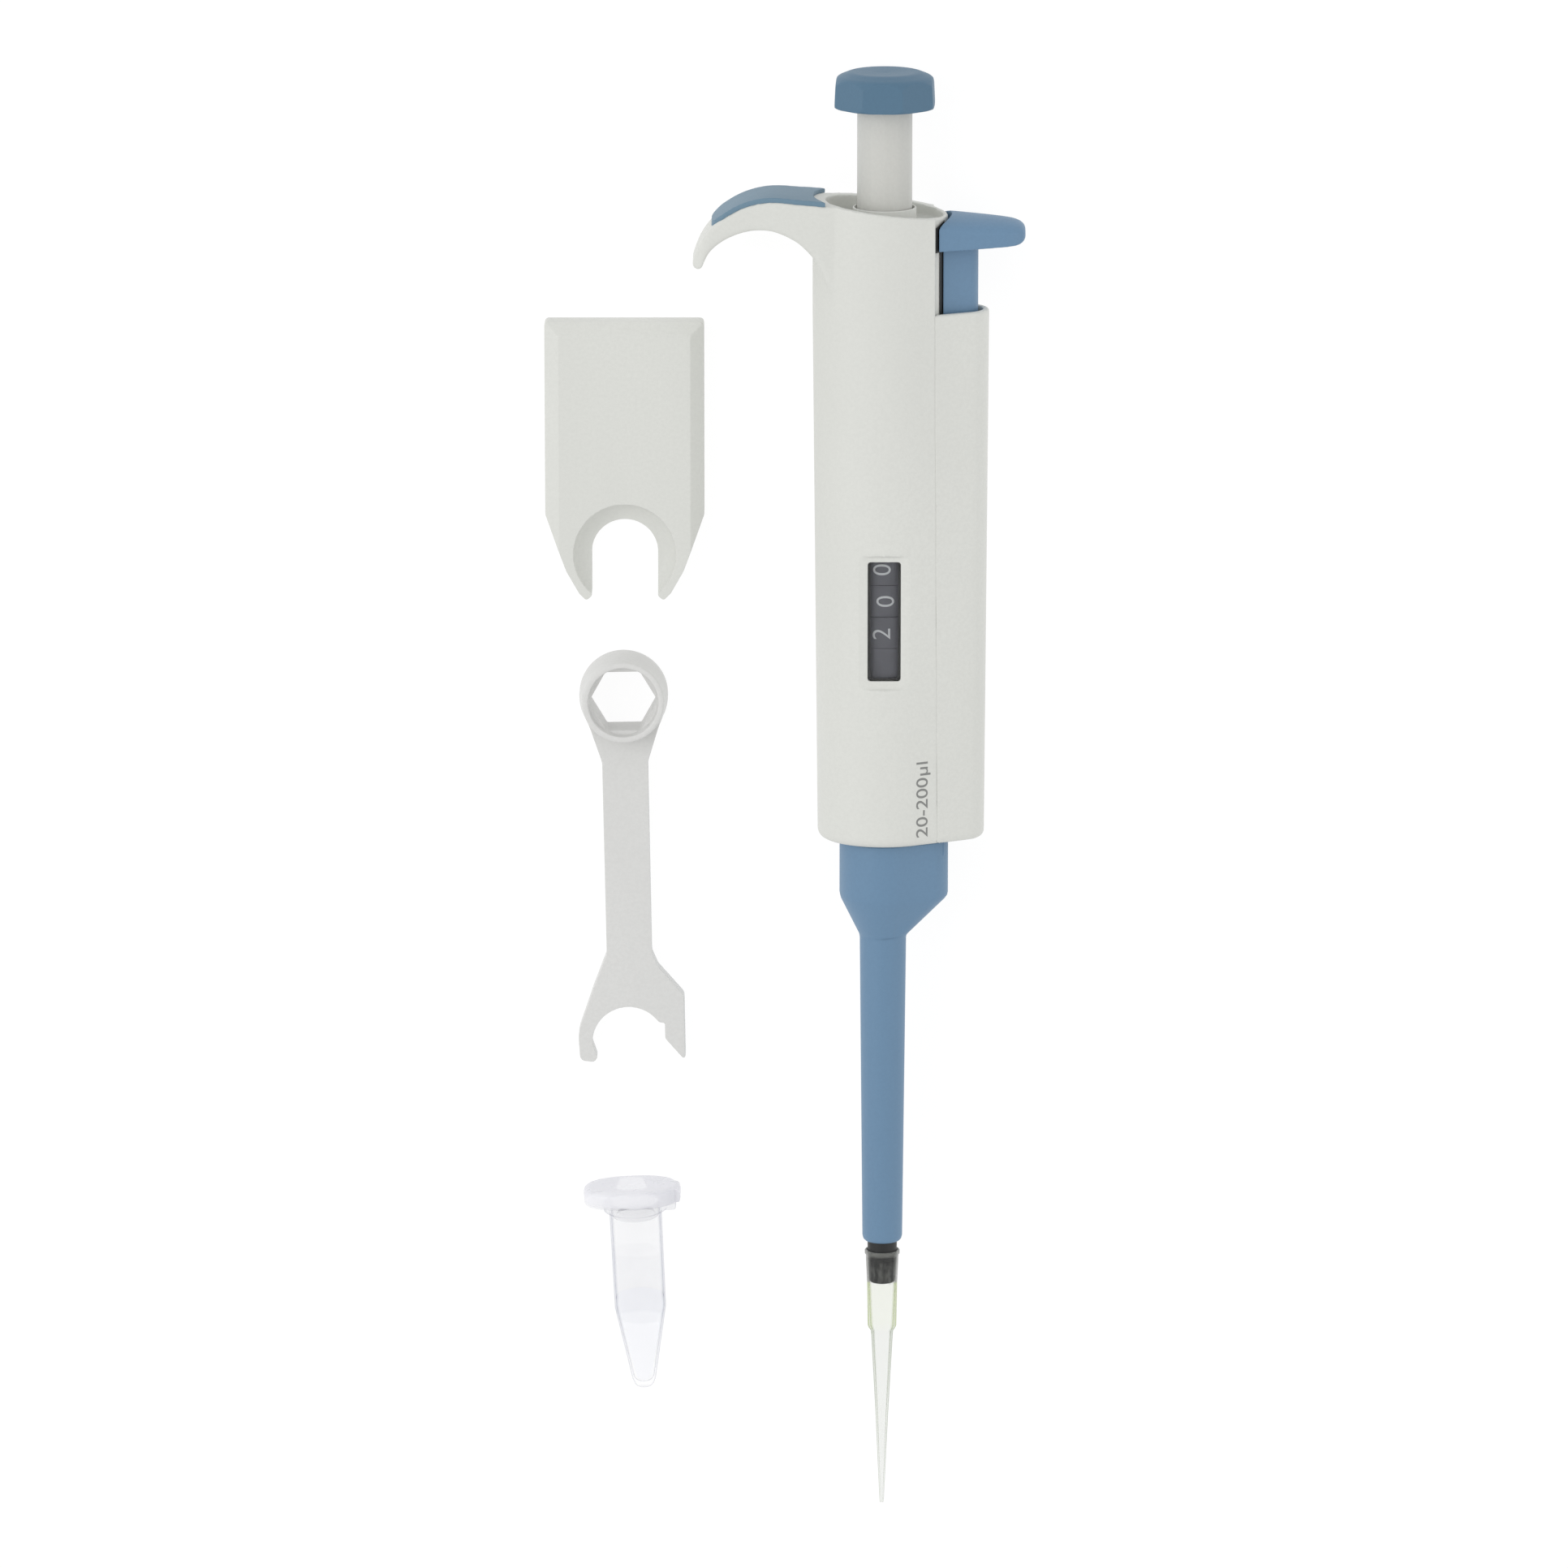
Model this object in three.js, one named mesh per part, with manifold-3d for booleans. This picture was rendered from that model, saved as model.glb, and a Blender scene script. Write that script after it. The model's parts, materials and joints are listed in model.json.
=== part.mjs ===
// Manual adjustable pipette laid out flat with its wall holder, its opening tool and a grease tube.
// Millimetres, +Z up. The pipette lies on its flat back with its push button towards +Y, the rest
// lies beside it. The origin is the middle of the layout, on the surface that everything lies on.
import * as THREE from 'three';
import { mergeVertices } from 'three/addons/utils/BufferGeometryUtils.js';
import Module from 'manifold-3d';

const wasm = await Module();
wasm.setup();

// ---- Driving dimensions ----------------------------------------------------------------------

const SIDES = 32;                  // facets of an ordinary round piece
const GAP = 0.3;                   // clearance between neighbouring pieces

// The pipette's axis in the layout, and its two ends along that axis.
const AXIS = { x: 20, y: 2.9, height: 12.2 };
const KNOB_TOP = 145;
const TIP_END = -150.8;

// Handle: an egg-shaped section, a half ellipse on the hook side and a round nose on the other.
const HANDLE = {
  bottom: -10.6,
  front: 12,                       // half depth to the front crown
  backFullness: 1.075,             // the back is this much fuller, then cut flat to lie down
  leftTop: 14.3,
  leftBottom: 13.2,
  rightTop: 20.9,
  rightBottom: 20.3,
  shoulder: Math.PI / 3,           // ellipse angle where the straight flank starts
  seam: 9.8,                       // x of the joint with the ejector cover
  bore: 9.5,
};
const BORES = { stem: 7.6, bottom: 7.2 };

// Cup round the stem: an oval hollow in a round wall, its rim slanting down to the ejector side.
const CUP = { outer: 12.6, inner: 11.7, innerDepth: 10.7, floor: 114.5, rimMiddle: 118, rimSlope: -0.124 };

// Finger hook: top and underside of its outline, its half width along x, and its round tip.
const HOOK = {
  top: [
    [-14, 119.6], [-17, 119.8], [-20.3, 120.1], [-23.1, 120.1], [-26, 119.6], [-29, 118.5],
    [-32.3, 116.5], [-34.6, 114.4], [-36.6, 111.6], [-38.1, 108],
  ],
  underside: [
    [-36.1, 107.2], [-34.6, 109.9], [-31.4, 112.4], [-27, 114], [-22.5, 114.1], [-18, 112.3],
    [-14.6, 109.9], [-11, 106],
  ],
  width: [[-5, 8.8], [-14, 8.6], [-20, 8.1], [-26, 7.2], [-32, 6.7], [-36, 6.3], [-38.3, 5]],
  tip: { x: -37.15, y: 107.2, radius: 1.05 },
};
const PAD = { thickness: 0.75, left: -34.4, arcX: 3, arcRadius: 17.1 };
const WINDOW = { halfWidth: 3.3, bottom: 23.7, top: 48, pocketDepth: 0.65 };
const COVER = { top: 97.5, wall: 1.2 };

// Push button and plunger.
const KNOB = { bottom: 137.9, radius: 10.2, topRadius: 9.7, turn: 19 };
const STEM = { radius: 5.7, bottom: 99.3 };
const SHAFT = { radius: 3.05, bottom: 20.3 };
const PISTON = { radius: 2.05, bottom: -38, capBottom: 17.3, capTop: 20, capRadius: 6.6 };

// Counter and volume stop.
const WHEEL = { outer: 9.1, inner: 6.2, width: 6, hundreds: 33.2, tens: 39.65, units: 46.1, blank: 26.8 };
const PINION = { x: -10.55, radius: 1.2, teeth: 8, shaft: 0.45 };
const FRAME = { bottom: 22, sleeve: 5.9, bore: 4.7, flange: 50.8, outer: 9.2, top: 75 };
const STOP_NUT = { bottom: 69.5, top: 73, outer: 7.6 };
const BLOWOUT = { ringBottom: 82, ringTop: 84, ringOuter: 9 };

// Ejector.
const BUTTON = {
  hollow: 13.4,                    // radius of the hollow beside the cup
  // along x: half depth, underside, where the arched top starts at the side, and its crown
  sections: [
    [9, 8.6, 110.1, 112.6, 116.3], [14, 7.5, 110.1, 112.6, 116], [20, 6.3, 110.1, 112.5, 115.6],
    [24.6, 5.4, 110.1, 112.4, 115.1], [26.6, 4.7, 110.4, 112.3, 114.6], [27.6, 3.8, 111.1, 112.3, 113.9],
    [28, 2.6, 111.8, 112.4, 113.2],
  ],
};
const SHANK = { inset: 2.2, bottom: 86.3 };
const SLEEVE = {
  top: -10.9,
  shoulder: -22.7,
  neck: -31,
  end: -95.3,
  collar: 8.8,
  collarRight: 13.1,
  neckRadius: 4.7,
  endRadius: 4.05,
};

// Nozzle and disposable tip.
const CONE = {
  top: -12,
  bore: 2.35,
  boreEnd: -60,
  channel: 0.7,
  seat: -96,
  end: -104.5,
  seatRadius: 3,
  endRadius: 2.6,
};
const TIP = { rim: -97.1, rimRadius: 3.55, step: -113 };

// Loose items: centres in the layout, sizes of their own.
const HOLDER = {
  x: -32, bottom: 39.7, width: 32, length: 56.6, thickness: 7, bevel: 2.7, bevelDrop: 2.2,
  seatY: 9.3, slot: 6.65, seat: 10.3, seatDepth: 3.4,
};
const TOOL = {
  x: -32.4, y: 19.2, lean: 1.05, ringRadius: 8.95, ringHeight: 10, plate: 4, grip: 4.6, hexAcross: 11.3,
  jawY: -72.4, jawRadius: 7.4,
};
const TUBE = {
  x: -30.4, y: -85.6, lean: 2.6, pitch: 3.1, height: 6.55, radius: 5.35, wall: 0.95, length: 41.2,
  shoulder: -22.7,
};

// ---- Solid helpers ---------------------------------------------------------------------------

function solid(geometry) {
  const bare = new THREE.BufferGeometry();
  bare.setAttribute('position', geometry.getAttribute('position').clone());
  if (geometry.index) bare.setIndex(geometry.index.clone());
  const merged = mergeVertices(bare, 1e-4);
  const points = merged.getAttribute('position');
  const triangles = merged.index.array;
  const [a, b, c] = [new THREE.Vector3(), new THREE.Vector3(), new THREE.Vector3()];
  const kept = [];
  let volume = 0;
  for (let i = 0; i < triangles.length; i += 3) {
    const corners = [triangles[i], triangles[i + 1], triangles[i + 2]];
    if (new Set(corners).size < 3) continue;
    [a, b, c].forEach((corner, k) => corner.fromBufferAttribute(points, corners[k]));
    volume += a.dot(b.cross(c));
    kept.push(corners);
  }
  const triVerts = new Uint32Array(kept.flatMap(([p, q, r]) => (volume > 0 ? [p, q, r] : [p, r, q])));
  const vertProperties = new Float32Array(points.array);
  return new wasm.Manifold(new wasm.Mesh({ numProp: 3, vertProperties, triVerts }));
}

function geometryOf(body) {
  const result = body.getMesh();
  const geometry = new THREE.BufferGeometry();
  geometry.setAttribute('position', new THREE.BufferAttribute(new Float32Array(result.vertProperties), 3));
  geometry.setIndex(new THREE.BufferAttribute(new Uint32Array(result.triVerts), 1));
  geometry.computeVertexNormals();
  return geometry;
}

// A round piece about the Y axis, from a profile of [radius, y] pairs that closes on itself or on the axis.
function turned(profile, sides = SIDES) {
  const points = profile.map(([radius, y]) => new THREE.Vector2(radius, y));
  const onAxis = profile[0][0] === 0 && profile[profile.length - 1][0] === 0;
  if (!onAxis) points.push(points[0].clone());
  return solid(new THREE.LatheGeometry(points, sides));
}

// A tube about the Y axis.
function sleeve(inner, outer, low, high, sides = SIDES) {
  return turned([[inner, low], [outer, low], [outer, high], [inner, high]], sides);
}

function disc(radius, low, high, x = 0, z = 0, sides = SIDES) {
  const cylinder = new THREE.CylinderGeometry(radius, radius, high - low, sides);
  return solid(cylinder.translate(x, (low + high) / 2, z));
}

function block(x0, x1, y0, y1, z0, z1) {
  const box = new THREE.BoxGeometry(x1 - x0, y1 - y0, z1 - z0);
  return solid(box.translate((x0 + x1) / 2, (y0 + y1) / 2, (z0 + z1) / 2));
}

// A plate: an outline in X and Y between two heights.
function plate(shape, z0, z1, curveSegments = 10) {
  const options = { depth: z1 - z0, bevelEnabled: false, curveSegments };
  return solid(new THREE.ExtrudeGeometry(shape, options).translate(0, 0, z0));
}

function polygon(points) {
  return new THREE.Shape(points.map(([x, y]) => new THREE.Vector2(x, y)));
}

// A skin over rings of points that all have the same count, closed by a flat cap at each end.
function loft(rings) {
  const count = rings[0].length;
  const index = [];
  rings.slice(1).forEach((ring, level) => {
    for (let i = 0; i < count; i++) {
      const a = level * count + i;
      const b = level * count + ((i + 1) % count);
      index.push(a, b, b + count, a, b + count, a + count);
    }
  });
  const last = (rings.length - 1) * count;
  for (let i = 1; i < count - 1; i++) {
    index.push(0, i + 1, i);
    index.push(last, last + i, last + i + 1);
  }
  const geometry = new THREE.BufferGeometry().setFromPoints(rings.flat());
  geometry.setIndex(index);
  return solid(geometry);
}

// A coil spring about a line parallel to Y.
class Helix extends THREE.Curve {
  constructor(radius, low, high, turns, x = 0) {
    super();
    Object.assign(this, { radius, low, high, turns, x });
  }

  getPoint(t) {
    const angle = 2 * Math.PI * this.turns * t;
    const y = this.low + (this.high - this.low) * t;
    return new THREE.Vector3(this.x + this.radius * Math.cos(angle), y, this.radius * Math.sin(angle));
  }
}

function spring(radius, wire, low, high, turns, x = 0) {
  const wireSection = new THREE.Shape();
  wireSection.absarc(0, 0, wire, 0, 2 * Math.PI);
  const options = {
    steps: Math.round(turns * 10),
    bevelEnabled: false,
    curveSegments: 3,
    extrudePath: new Helix(radius, low + wire, high - wire, turns, x),
  };
  return solid(new THREE.ExtrudeGeometry(wireSection, options));
}

// Points of an arc about (cx, cz) in the plane of one height y, both end angles included.
function arc(cx, rx, rz, from, to, steps, y) {
  return Array.from({ length: steps + 1 }, (_, i) => {
    const angle = from + ((to - from) * i) / steps;
    return new THREE.Vector3(cx + rx * Math.cos(angle), y, rz * Math.sin(angle));
  });
}

// The handle's section at height y: half ellipse, straight flanks and a round nose, the back cut flat.
function handleSection(y, inset = 0) {
  const along = THREE.MathUtils.clamp((y - HANDLE.bottom) / (COVER.top - HANDLE.bottom), 0, 1);
  const left = THREE.MathUtils.lerp(HANDLE.leftBottom, HANDLE.leftTop, along) - inset;
  const right = THREE.MathUtils.lerp(HANDLE.rightBottom, HANDLE.rightTop, along) - inset;
  const front = HANDLE.front - inset;
  const turn = HANDLE.shoulder;
  const slope = Math.hypot(front * Math.cos(turn), left * Math.sin(turn));
  const nose = (front * (left - right * Math.cos(turn))) / (slope - front * Math.cos(turn));
  const noseTurn = Math.atan2(left * Math.sin(turn), front * Math.cos(turn));
  const ring = [
    ...arc(0, left, front, turn, 2 * Math.PI - turn, 26, y),
    ...arc(right - nose, nose, nose, -noseTurn, noseTurn, 8, y),
  ];
  const lowest = -AXIS.height + inset;
  ring.forEach((p) => {
    if (p.z < 0) p.z = Math.max(p.z * HANDLE.backFullness, lowest);
  });
  return ring;
}

function handleBlank(low, high, inset = 0) {
  return loft([low, (low + high) / 2, high].map((y) => handleSection(y, inset)));
}

// ---- Handle ----------------------------------------------------------------------------------

function rimHeight(x) {
  return CUP.rimMiddle + CUP.rimSlope * x;
}

function pointsOf(pairs) {
  return pairs.map(([x, y]) => new THREE.Vector2(x, y));
}

// The outline of the finger hook in X and Y. It runs into the handle on its right.
function hookOutline() {
  const { x, y, radius } = HOOK.tip;
  const shape = new THREE.Shape();
  shape.moveTo(-7, rimHeight(-7));
  shape.lineTo(...HOOK.top[0]);
  shape.splineThru(pointsOf(HOOK.top.slice(1)));
  shape.absarc(x, y, radius, Math.PI * 0.85, Math.PI * 2, false);
  shape.splineThru(pointsOf(HOOK.underside.slice(1)));
  shape.lineTo(-7, 103);
  return shape;
}

// The hook narrows towards its tip, seen along the handle.
function hookPlan() {
  const front = HOOK.width.map(([x, z]) => [x, z]);
  const back = HOOK.width.map(([x, z]) => [x, -z]).reverse();
  return loft([95, 125].map((y) => [...back, ...front].map(([x, z]) => new THREE.Vector3(x, y, z))));
}

function cutAboveRim() {
  return plate(polygon([[-60, rimHeight(-60)], [60, rimHeight(60)], [60, 160], [-60, 160]]), -30, 30);
}

function handleBody() {
  const bottomRound = 1.6;
  const rings = [
    handleSection(HANDLE.bottom, bottomRound),
    handleSection(HANDLE.bottom + 0.5, bottomRound * 0.3),
    handleSection(HANDLE.bottom + bottomRound),
    handleSection(45),
    handleSection(COVER.top),
    handleSection(121),
  ];
  const channel = block(HANDLE.seam, 40, -30, 140, -30, 30).subtract(disc(CUP.outer, -40, 150));
  const hook = plate(hookOutline(), -10, 10, 20).intersect(hookPlan());
  const hollow = disc(1, CUP.floor, 130).scale([CUP.inner, 1, CUP.innerDepth]);
  const pocketFloor = HANDLE.front - WINDOW.pocketDepth;
  const pocketEdge = WINDOW.halfWidth + 2.2;
  return loft(rings)
    .subtract(channel)
    .add(hook)
    .subtract(cutAboveRim())
    .subtract(hollow)
    .subtract(disc(BORES.stem, 100, 120))
    .subtract(disc(HANDLE.bore, -6, 110))
    .subtract(disc(BORES.bottom, -20, 0))
    .subtract(block(9.2, 14, -20, 8, -3.6, 3.6))
    .subtract(disc(1.6, 27, 50, PINION.x, 0, 12))
    .subtract(block(-pocketEdge, pocketEdge, WINDOW.bottom - 1.7, WINDOW.top + 1.2, pocketFloor, 20))
    .subtract(block(-WINDOW.halfWidth, WINDOW.halfWidth, WINDOW.bottom, WINDOW.top, 5, 20));
}

// The pad on top of the hook. It ends in a hollow arc beside the cup.
function hookPad() {
  const line = [[-8, rimHeight(-8)], ...HOOK.top.slice(0, 8)];
  const shape = new THREE.Shape();
  shape.moveTo(line[0][0], line[0][1] + GAP);
  shape.splineThru(pointsOf(line.slice(1)).map((p) => p.add(new THREE.Vector2(0, GAP))));
  const rise = new THREE.Vector2(-0.1, GAP + PAD.thickness);
  const upper = pointsOf([...line].reverse()).map((p) => p.add(rise));
  shape.lineTo(upper[0].x, upper[0].y);
  shape.splineThru(upper.slice(1));
  const right = disc(PAD.arcRadius, 95, 145, PAD.arcX, 0, 48);
  return plate(shape, -10, 10, 16)
    .intersect(hookPlan())
    .subtract(right)
    .subtract(block(-50, PAD.left, 90, 130, -20, 20));
}

function counterWindow() {
  const half = WINDOW.halfWidth - GAP;
  const surface = HANDLE.front - WINDOW.pocketDepth - 0.25;
  return block(-half, half, WINDOW.bottom + GAP, WINDOW.top - GAP, surface - 1, surface);
}

// Plain ring nut round the stem, screwed into the floor of the cup.
function calibrationNut() {
  const thread = 7.3;
  const collar = 6.6;
  return turned([
    [6, 104], [thread, 104], [thread, 114.2], [collar, 114.2], [collar, 117.2], [6.4, 117.4], [6, 117.4],
  ]);
}

// Channel cover over the ejector, open towards the handle and at both ends.
function ejectorCover() {
  const edge = HANDLE.seam + GAP;
  const outer = loft([
    handleSection(HANDLE.bottom, 1.2),
    handleSection(HANDLE.bottom + 1.2),
    handleSection(45),
    handleSection(COVER.top - 0.6),
    handleSection(COVER.top, 0.4),
  ]);
  const ledge = handleBlank(47.5, 49.5, 0.4).subtract(block(-30, 15, 0, 90, -30, 30));
  return outer
    .subtract(handleBlank(-20, 110, COVER.wall))
    .add(ledge)
    .subtract(block(-30, edge, -30, 120, -30, 30))
    .subtract(disc(CUP.outer + GAP, -30, 120));
}

// ---- Plunger, knob and volume mechanism --------------------------------------------------------

function octagon(radius, y) {
  const start = THREE.MathUtils.degToRad(KNOB.turn);
  return arc(0, radius, radius, start, start + Math.PI * 1.75, 7, y);
}

function pushButton() {
  const rings = [
    octagon(KNOB.radius - 0.9, KNOB.bottom),
    octagon(KNOB.radius, KNOB.bottom + 0.9),
    octagon(KNOB.topRadius, KNOB_TOP - 1.6),
    octagon(KNOB.topRadius - 0.7, KNOB_TOP - 0.5),
    octagon(KNOB.topRadius - 2, KNOB_TOP),
  ];
  return loft(rings).subtract(disc(SHAFT.radius + GAP, 130, 141.5));
}

function plungerStem() {
  const inner = SHAFT.radius + GAP;
  return sleeve(inner, STEM.radius, STEM.bottom, KNOB.bottom - GAP);
}

function driveShaft() {
  return disc(SHAFT.radius, SHAFT.bottom, 141.2, 0, 0, 6);
}

function pistonCap() {
  const { capBottom, capTop, capRadius } = PISTON;
  return turned([
    [0, capBottom], [capRadius, capBottom], [capRadius, capTop - 0.5], [capRadius - 0.5, capTop],
    [0, capTop],
  ]);
}

function piston() {
  return disc(PISTON.radius, PISTON.bottom, PISTON.capBottom - GAP, 0, 0, 24);
}

function mechanismFrame() {
  const { bottom, sleeve: hub, bore, flange, outer, top } = FRAME;
  const cage = outer - 1.2;
  return turned([
    [bore, bottom], [hub, bottom], [hub, flange], [outer, flange], [outer, top], [cage, top],
    [cage, flange + 2], [bore, flange + 2],
  ]);
}

function volumeScrew() {
  const bore = SHAFT.radius + 0.25;
  return sleeve(bore, FRAME.bore - GAP, FRAME.bottom + 0.6, FRAME.top - 0.6);
}

function volumeStopNut() {
  return sleeve(FRAME.bore, STOP_NUT.outer, STOP_NUT.bottom, STOP_NUT.top);
}

function counterWheel(middle) {
  const half = WHEEL.width / 2;
  const edge = 0.35;
  return turned([
    [WHEEL.inner, middle - half], [WHEEL.outer - edge, middle - half], [WHEEL.outer, middle - half + edge],
    [WHEEL.outer, middle + half - edge], [WHEEL.outer - edge, middle + half], [WHEEL.inner, middle + half],
  ], 30);
}

// Toothed transfer pinion between two counter wheels.
function transferPinion(middle) {
  const teeth = PINION.teeth * 2;
  const ring = (y) => Array.from({ length: teeth }, (_, i) => {
    const radius = PINION.radius - (i % 2) * 0.35;
    const angle = (2 * Math.PI * i) / teeth;
    return new THREE.Vector3(PINION.x + radius * Math.cos(angle), y, radius * Math.sin(angle));
  });
  const hole = disc(PINION.shaft + 0.15, middle - 5, middle + 5, PINION.x, 0, 12);
  const blank = loft([ring(middle - 1.6), ring(middle + 1.6)]);
  return blank.subtract(hole);
}

function blowoutRing() {
  return sleeve(SHAFT.radius + 0.6, BLOWOUT.ringOuter, BLOWOUT.ringBottom, BLOWOUT.ringTop);
}

// ---- Nozzle ------------------------------------------------------------------------------------

function hexPrism(across, low, high, turn = 0) {
  const cylinder = new THREE.CylinderGeometry(across / Math.sqrt(3), across / Math.sqrt(3), high - low, 6);
  return solid(cylinder.rotateY(turn).translate(0, (low + high) / 2, 0));
}

// Union nut that holds the nozzle in the handle. Its hexagon fits the opening tool.
function cylinderNut() {
  return hexPrism(TOOL.hexAcross - 0.3, -20, -10.9)
    .add(disc(6.9, -11, -2))
    .subtract(disc(5.3, -18.3, 0))
    .subtract(disc(3.8, -30, 0));
}

function tipCone() {
  return turned([
    [CONE.bore, CONE.top], [5, CONE.top], [5, -18], [3.45, -18], [3.4, -30], [CONE.seatRadius, CONE.seat],
    [CONE.endRadius, CONE.end], [CONE.channel, CONE.end], [CONE.channel, CONE.boreEnd],
    [CONE.bore, CONE.boreEnd],
  ]);
}

function sealRing() {
  const section = new THREE.TorusGeometry(3.5, 0.75, 8, 24);
  return solid(section.rotateX(Math.PI / 2).translate(0, -8.6, 0));
}

function pipetteTip() {
  const { rim, rimRadius, step } = TIP;
  return turned([
    [3.07, rim], [rimRadius, rim], [rimRadius, rim - 0.8], [3.25, rim - 1.1], [3.02, -104],
    [2.85, step + 0.5],
    [2.25, step - 0.6], [0.4, TIP_END], [0.22, TIP_END], [1.85, step - 1], [2.4, step + 0.3],
    [2.74, -104.6],
  ].reverse());
}

// ---- Ejector -----------------------------------------------------------------------------------

// Outline round two circles on the X axis, the second one centred at x.
function capsuleRing(radius, x, noseRadius, y) {
  const turn = Math.acos((radius - noseRadius) / Math.max(x, 0.01));
  return [
    ...arc(0, radius, radius, turn, 2 * Math.PI - turn, 18, y),
    ...arc(x, noseRadius, noseRadius, -turn, turn, 10, y),
  ];
}

// The thumb button: an arched plate on a shank. Both are hollowed beside the cup's wall.
function ejectorButton() {
  const rings = BUTTON.sections.map(([x, depth, low, side, crown]) => [
    new THREE.Vector3(x, low, depth),
    ...Array.from({ length: 9 }, (_, i) => {
      const angle = (Math.PI * i) / 8;
      return new THREE.Vector3(x, side + (crown - side) * Math.sin(angle), depth * Math.cos(angle));
    }),
    new THREE.Vector3(x, low, -depth),
  ]);
  const shank = loft([SHANK.bottom, 112].map((y) => handleSection(y, SHANK.inset)))
    .subtract(disc(CUP.outer + GAP, 60, 130))
    .subtract(block(-30, HANDLE.seam + GAP, 60, 130, -20, 20))
    .subtract(block(12, 15, SHANK.bottom - 1, 96.3, -3.3, 3.3));
  return loft(rings)
    .subtract(disc(BUTTON.hollow, 100, 130, 0, 0, 48))
    .add(shank);
}

// Flat rod from the button's shank down to the sleeve's arm.
function ejectorRod() {
  return block(13.3, 14.7, -4, 96, -3, 3);
}

function ejectorSleeve() {
  const { top, shoulder, neck, end, collar, collarRight, neckRadius, endRadius } = SLEEVE;
  const nose = 5.4;
  const outer = loft([
    capsuleRing(endRadius - 0.9, 0, endRadius - 0.9, end),
    capsuleRing(endRadius, 0, endRadius, end + 1.1),
    capsuleRing(neckRadius, 0, neckRadius, neck),
    capsuleRing(collar - 0.6, collarRight - nose, nose - 0.6, shoulder - 0.8),
    capsuleRing(collar, collarRight - nose, nose, shoulder),
    capsuleRing(collar, collarRight - nose, nose, top),
  ]);
  const inside = turned([
    [0, end - 5], [3.25, end - 5], [3.9, neck], [7.5, shoulder + 0.6], [7.5, top + 10], [0, top + 10],
  ]);
  const arm = block(10, 12.2, top - 3, 4, -3.2, 3.2);
  return outer.subtract(inside).add(arm);
}

// ---- Wall holder -------------------------------------------------------------------------------

// The holder's own frame: x from its middle, y from its horn tips.
function holderOutline() {
  const half = HOLDER.width / 2;
  const { length, slot, seatY } = HOLDER;
  const shape = new THREE.Shape();
  const side = (sign) => [
    [sign * slot, 0.6], [sign * (slot + 0.7), 0], [sign * (slot + 2.3), 1.3], [sign * (slot + 4.6), 5],
    [sign * half, 17.4], [sign * half, length],
  ];
  shape.setFromPoints([...side(-1).reverse()].map(([x, y]) => new THREE.Vector2(x, y)));
  shape.lineTo(-slot, seatY);
  shape.absarc(0, seatY, slot, Math.PI, 0, true);
  side(1).forEach(([x, y]) => shape.lineTo(x, y));
  return shape;
}

function holderPlate() {
  const { width, length, thickness, bevel, bevelDrop, seatY, seat, seatDepth, slot } = HOLDER;
  const half = width / 2;
  const low = thickness - bevelDrop;
  const edgeRing = (inset, z) => [
    [-half + inset, -30], [half - inset, -30], [half - inset, length - inset],
    [-half + inset, length - inset],
  ].map(([x, y]) => new THREE.Vector3(x, y, z));
  const envelope = loft([edgeRing(0, -1), edgeRing(0, low), edgeRing(bevel, thickness)]);
  const bowl = turned([[0, -seatDepth], [slot, -seatDepth], [seat, 0], [seat, 3], [0, 3]]);
  const seatCut = bowl.rotate([90, 0, 0]).translate([0, seatY, thickness]);
  const tapePocket = block(-half + 3.2, half - 3.2, 21.7, length - 3.2, -1, 0.9);
  return plate(holderOutline(), 0, thickness, 16)
    .intersect(envelope)
    .subtract(seatCut)
    .subtract(tapePocket);
}

function padSheet(inset, z0, z1) {
  const half = HOLDER.width / 2 - 3.5 - inset;
  return block(-half, half, 22 + inset, HOLDER.length - 3.5 - inset, z0, z1);
}

// ---- Opening tool ------------------------------------------------------------------------------

function toolOutline() {
  const { grip, jawY, jawRadius, ringRadius } = TOOL;
  const shape = new THREE.Shape();
  shape.moveTo(-6.2, -ringRadius + 2);
  shape.lineTo(-grip, -13.6);
  shape.lineTo(-grip, -52);
  shape.quadraticCurveTo(-5.2, -55.5, -7.2, -60);
  shape.quadraticCurveTo(-9.7, -65.5, -10.2, -71.5);
  shape.quadraticCurveTo(-10.4, -74, -9.9, -75.4);
  shape.quadraticCurveTo(-8.6, -76.4, -7, -75.4);
  shape.lineTo(-8, -72.2);
  shape.absarc(-0.5, jawY, jawRadius, Math.PI, Math.PI * 0.19, true);
  shape.lineTo(6.9, jawY + 4.1);
  shape.lineTo(6.9, jawY + 0.7);
  shape.lineTo(10.5, -75.6);
  shape.lineTo(10.9, -75.2);
  shape.lineTo(10.9, -63.3);
  shape.quadraticCurveTo(10.9, -61.9, 9.6, -60.6);
  shape.lineTo(grip + 0.9, -56);
  shape.quadraticCurveTo(grip, -54.9, grip, -53);
  shape.lineTo(grip, -13.6);
  shape.lineTo(6.2, -ringRadius + 2);
  return shape;
}

function calibrationTool() {
  const { ringRadius, ringHeight, plate: thick, hexAcross } = TOOL;
  const ring = turned([
    [0, 0], [ringRadius, 0], [ringRadius, ringHeight - 0.6], [ringRadius - 0.6, ringHeight],
    [0, ringHeight],
  ]).rotate([90, 0, 0]);
  const hex = hexPrism(hexAcross, -20, 20, Math.PI / 6).rotate([90, 0, 0]);
  const counterbore = disc(6.9, 0, 9).rotate([90, 0, 0]).translate([0, 0, ringHeight - 1.8]);
  return ring.add(plate(toolOutline(), 0, thick, 8)).subtract(hex).subtract(counterbore);
}

// ---- Grease tube -------------------------------------------------------------------------------

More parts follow.
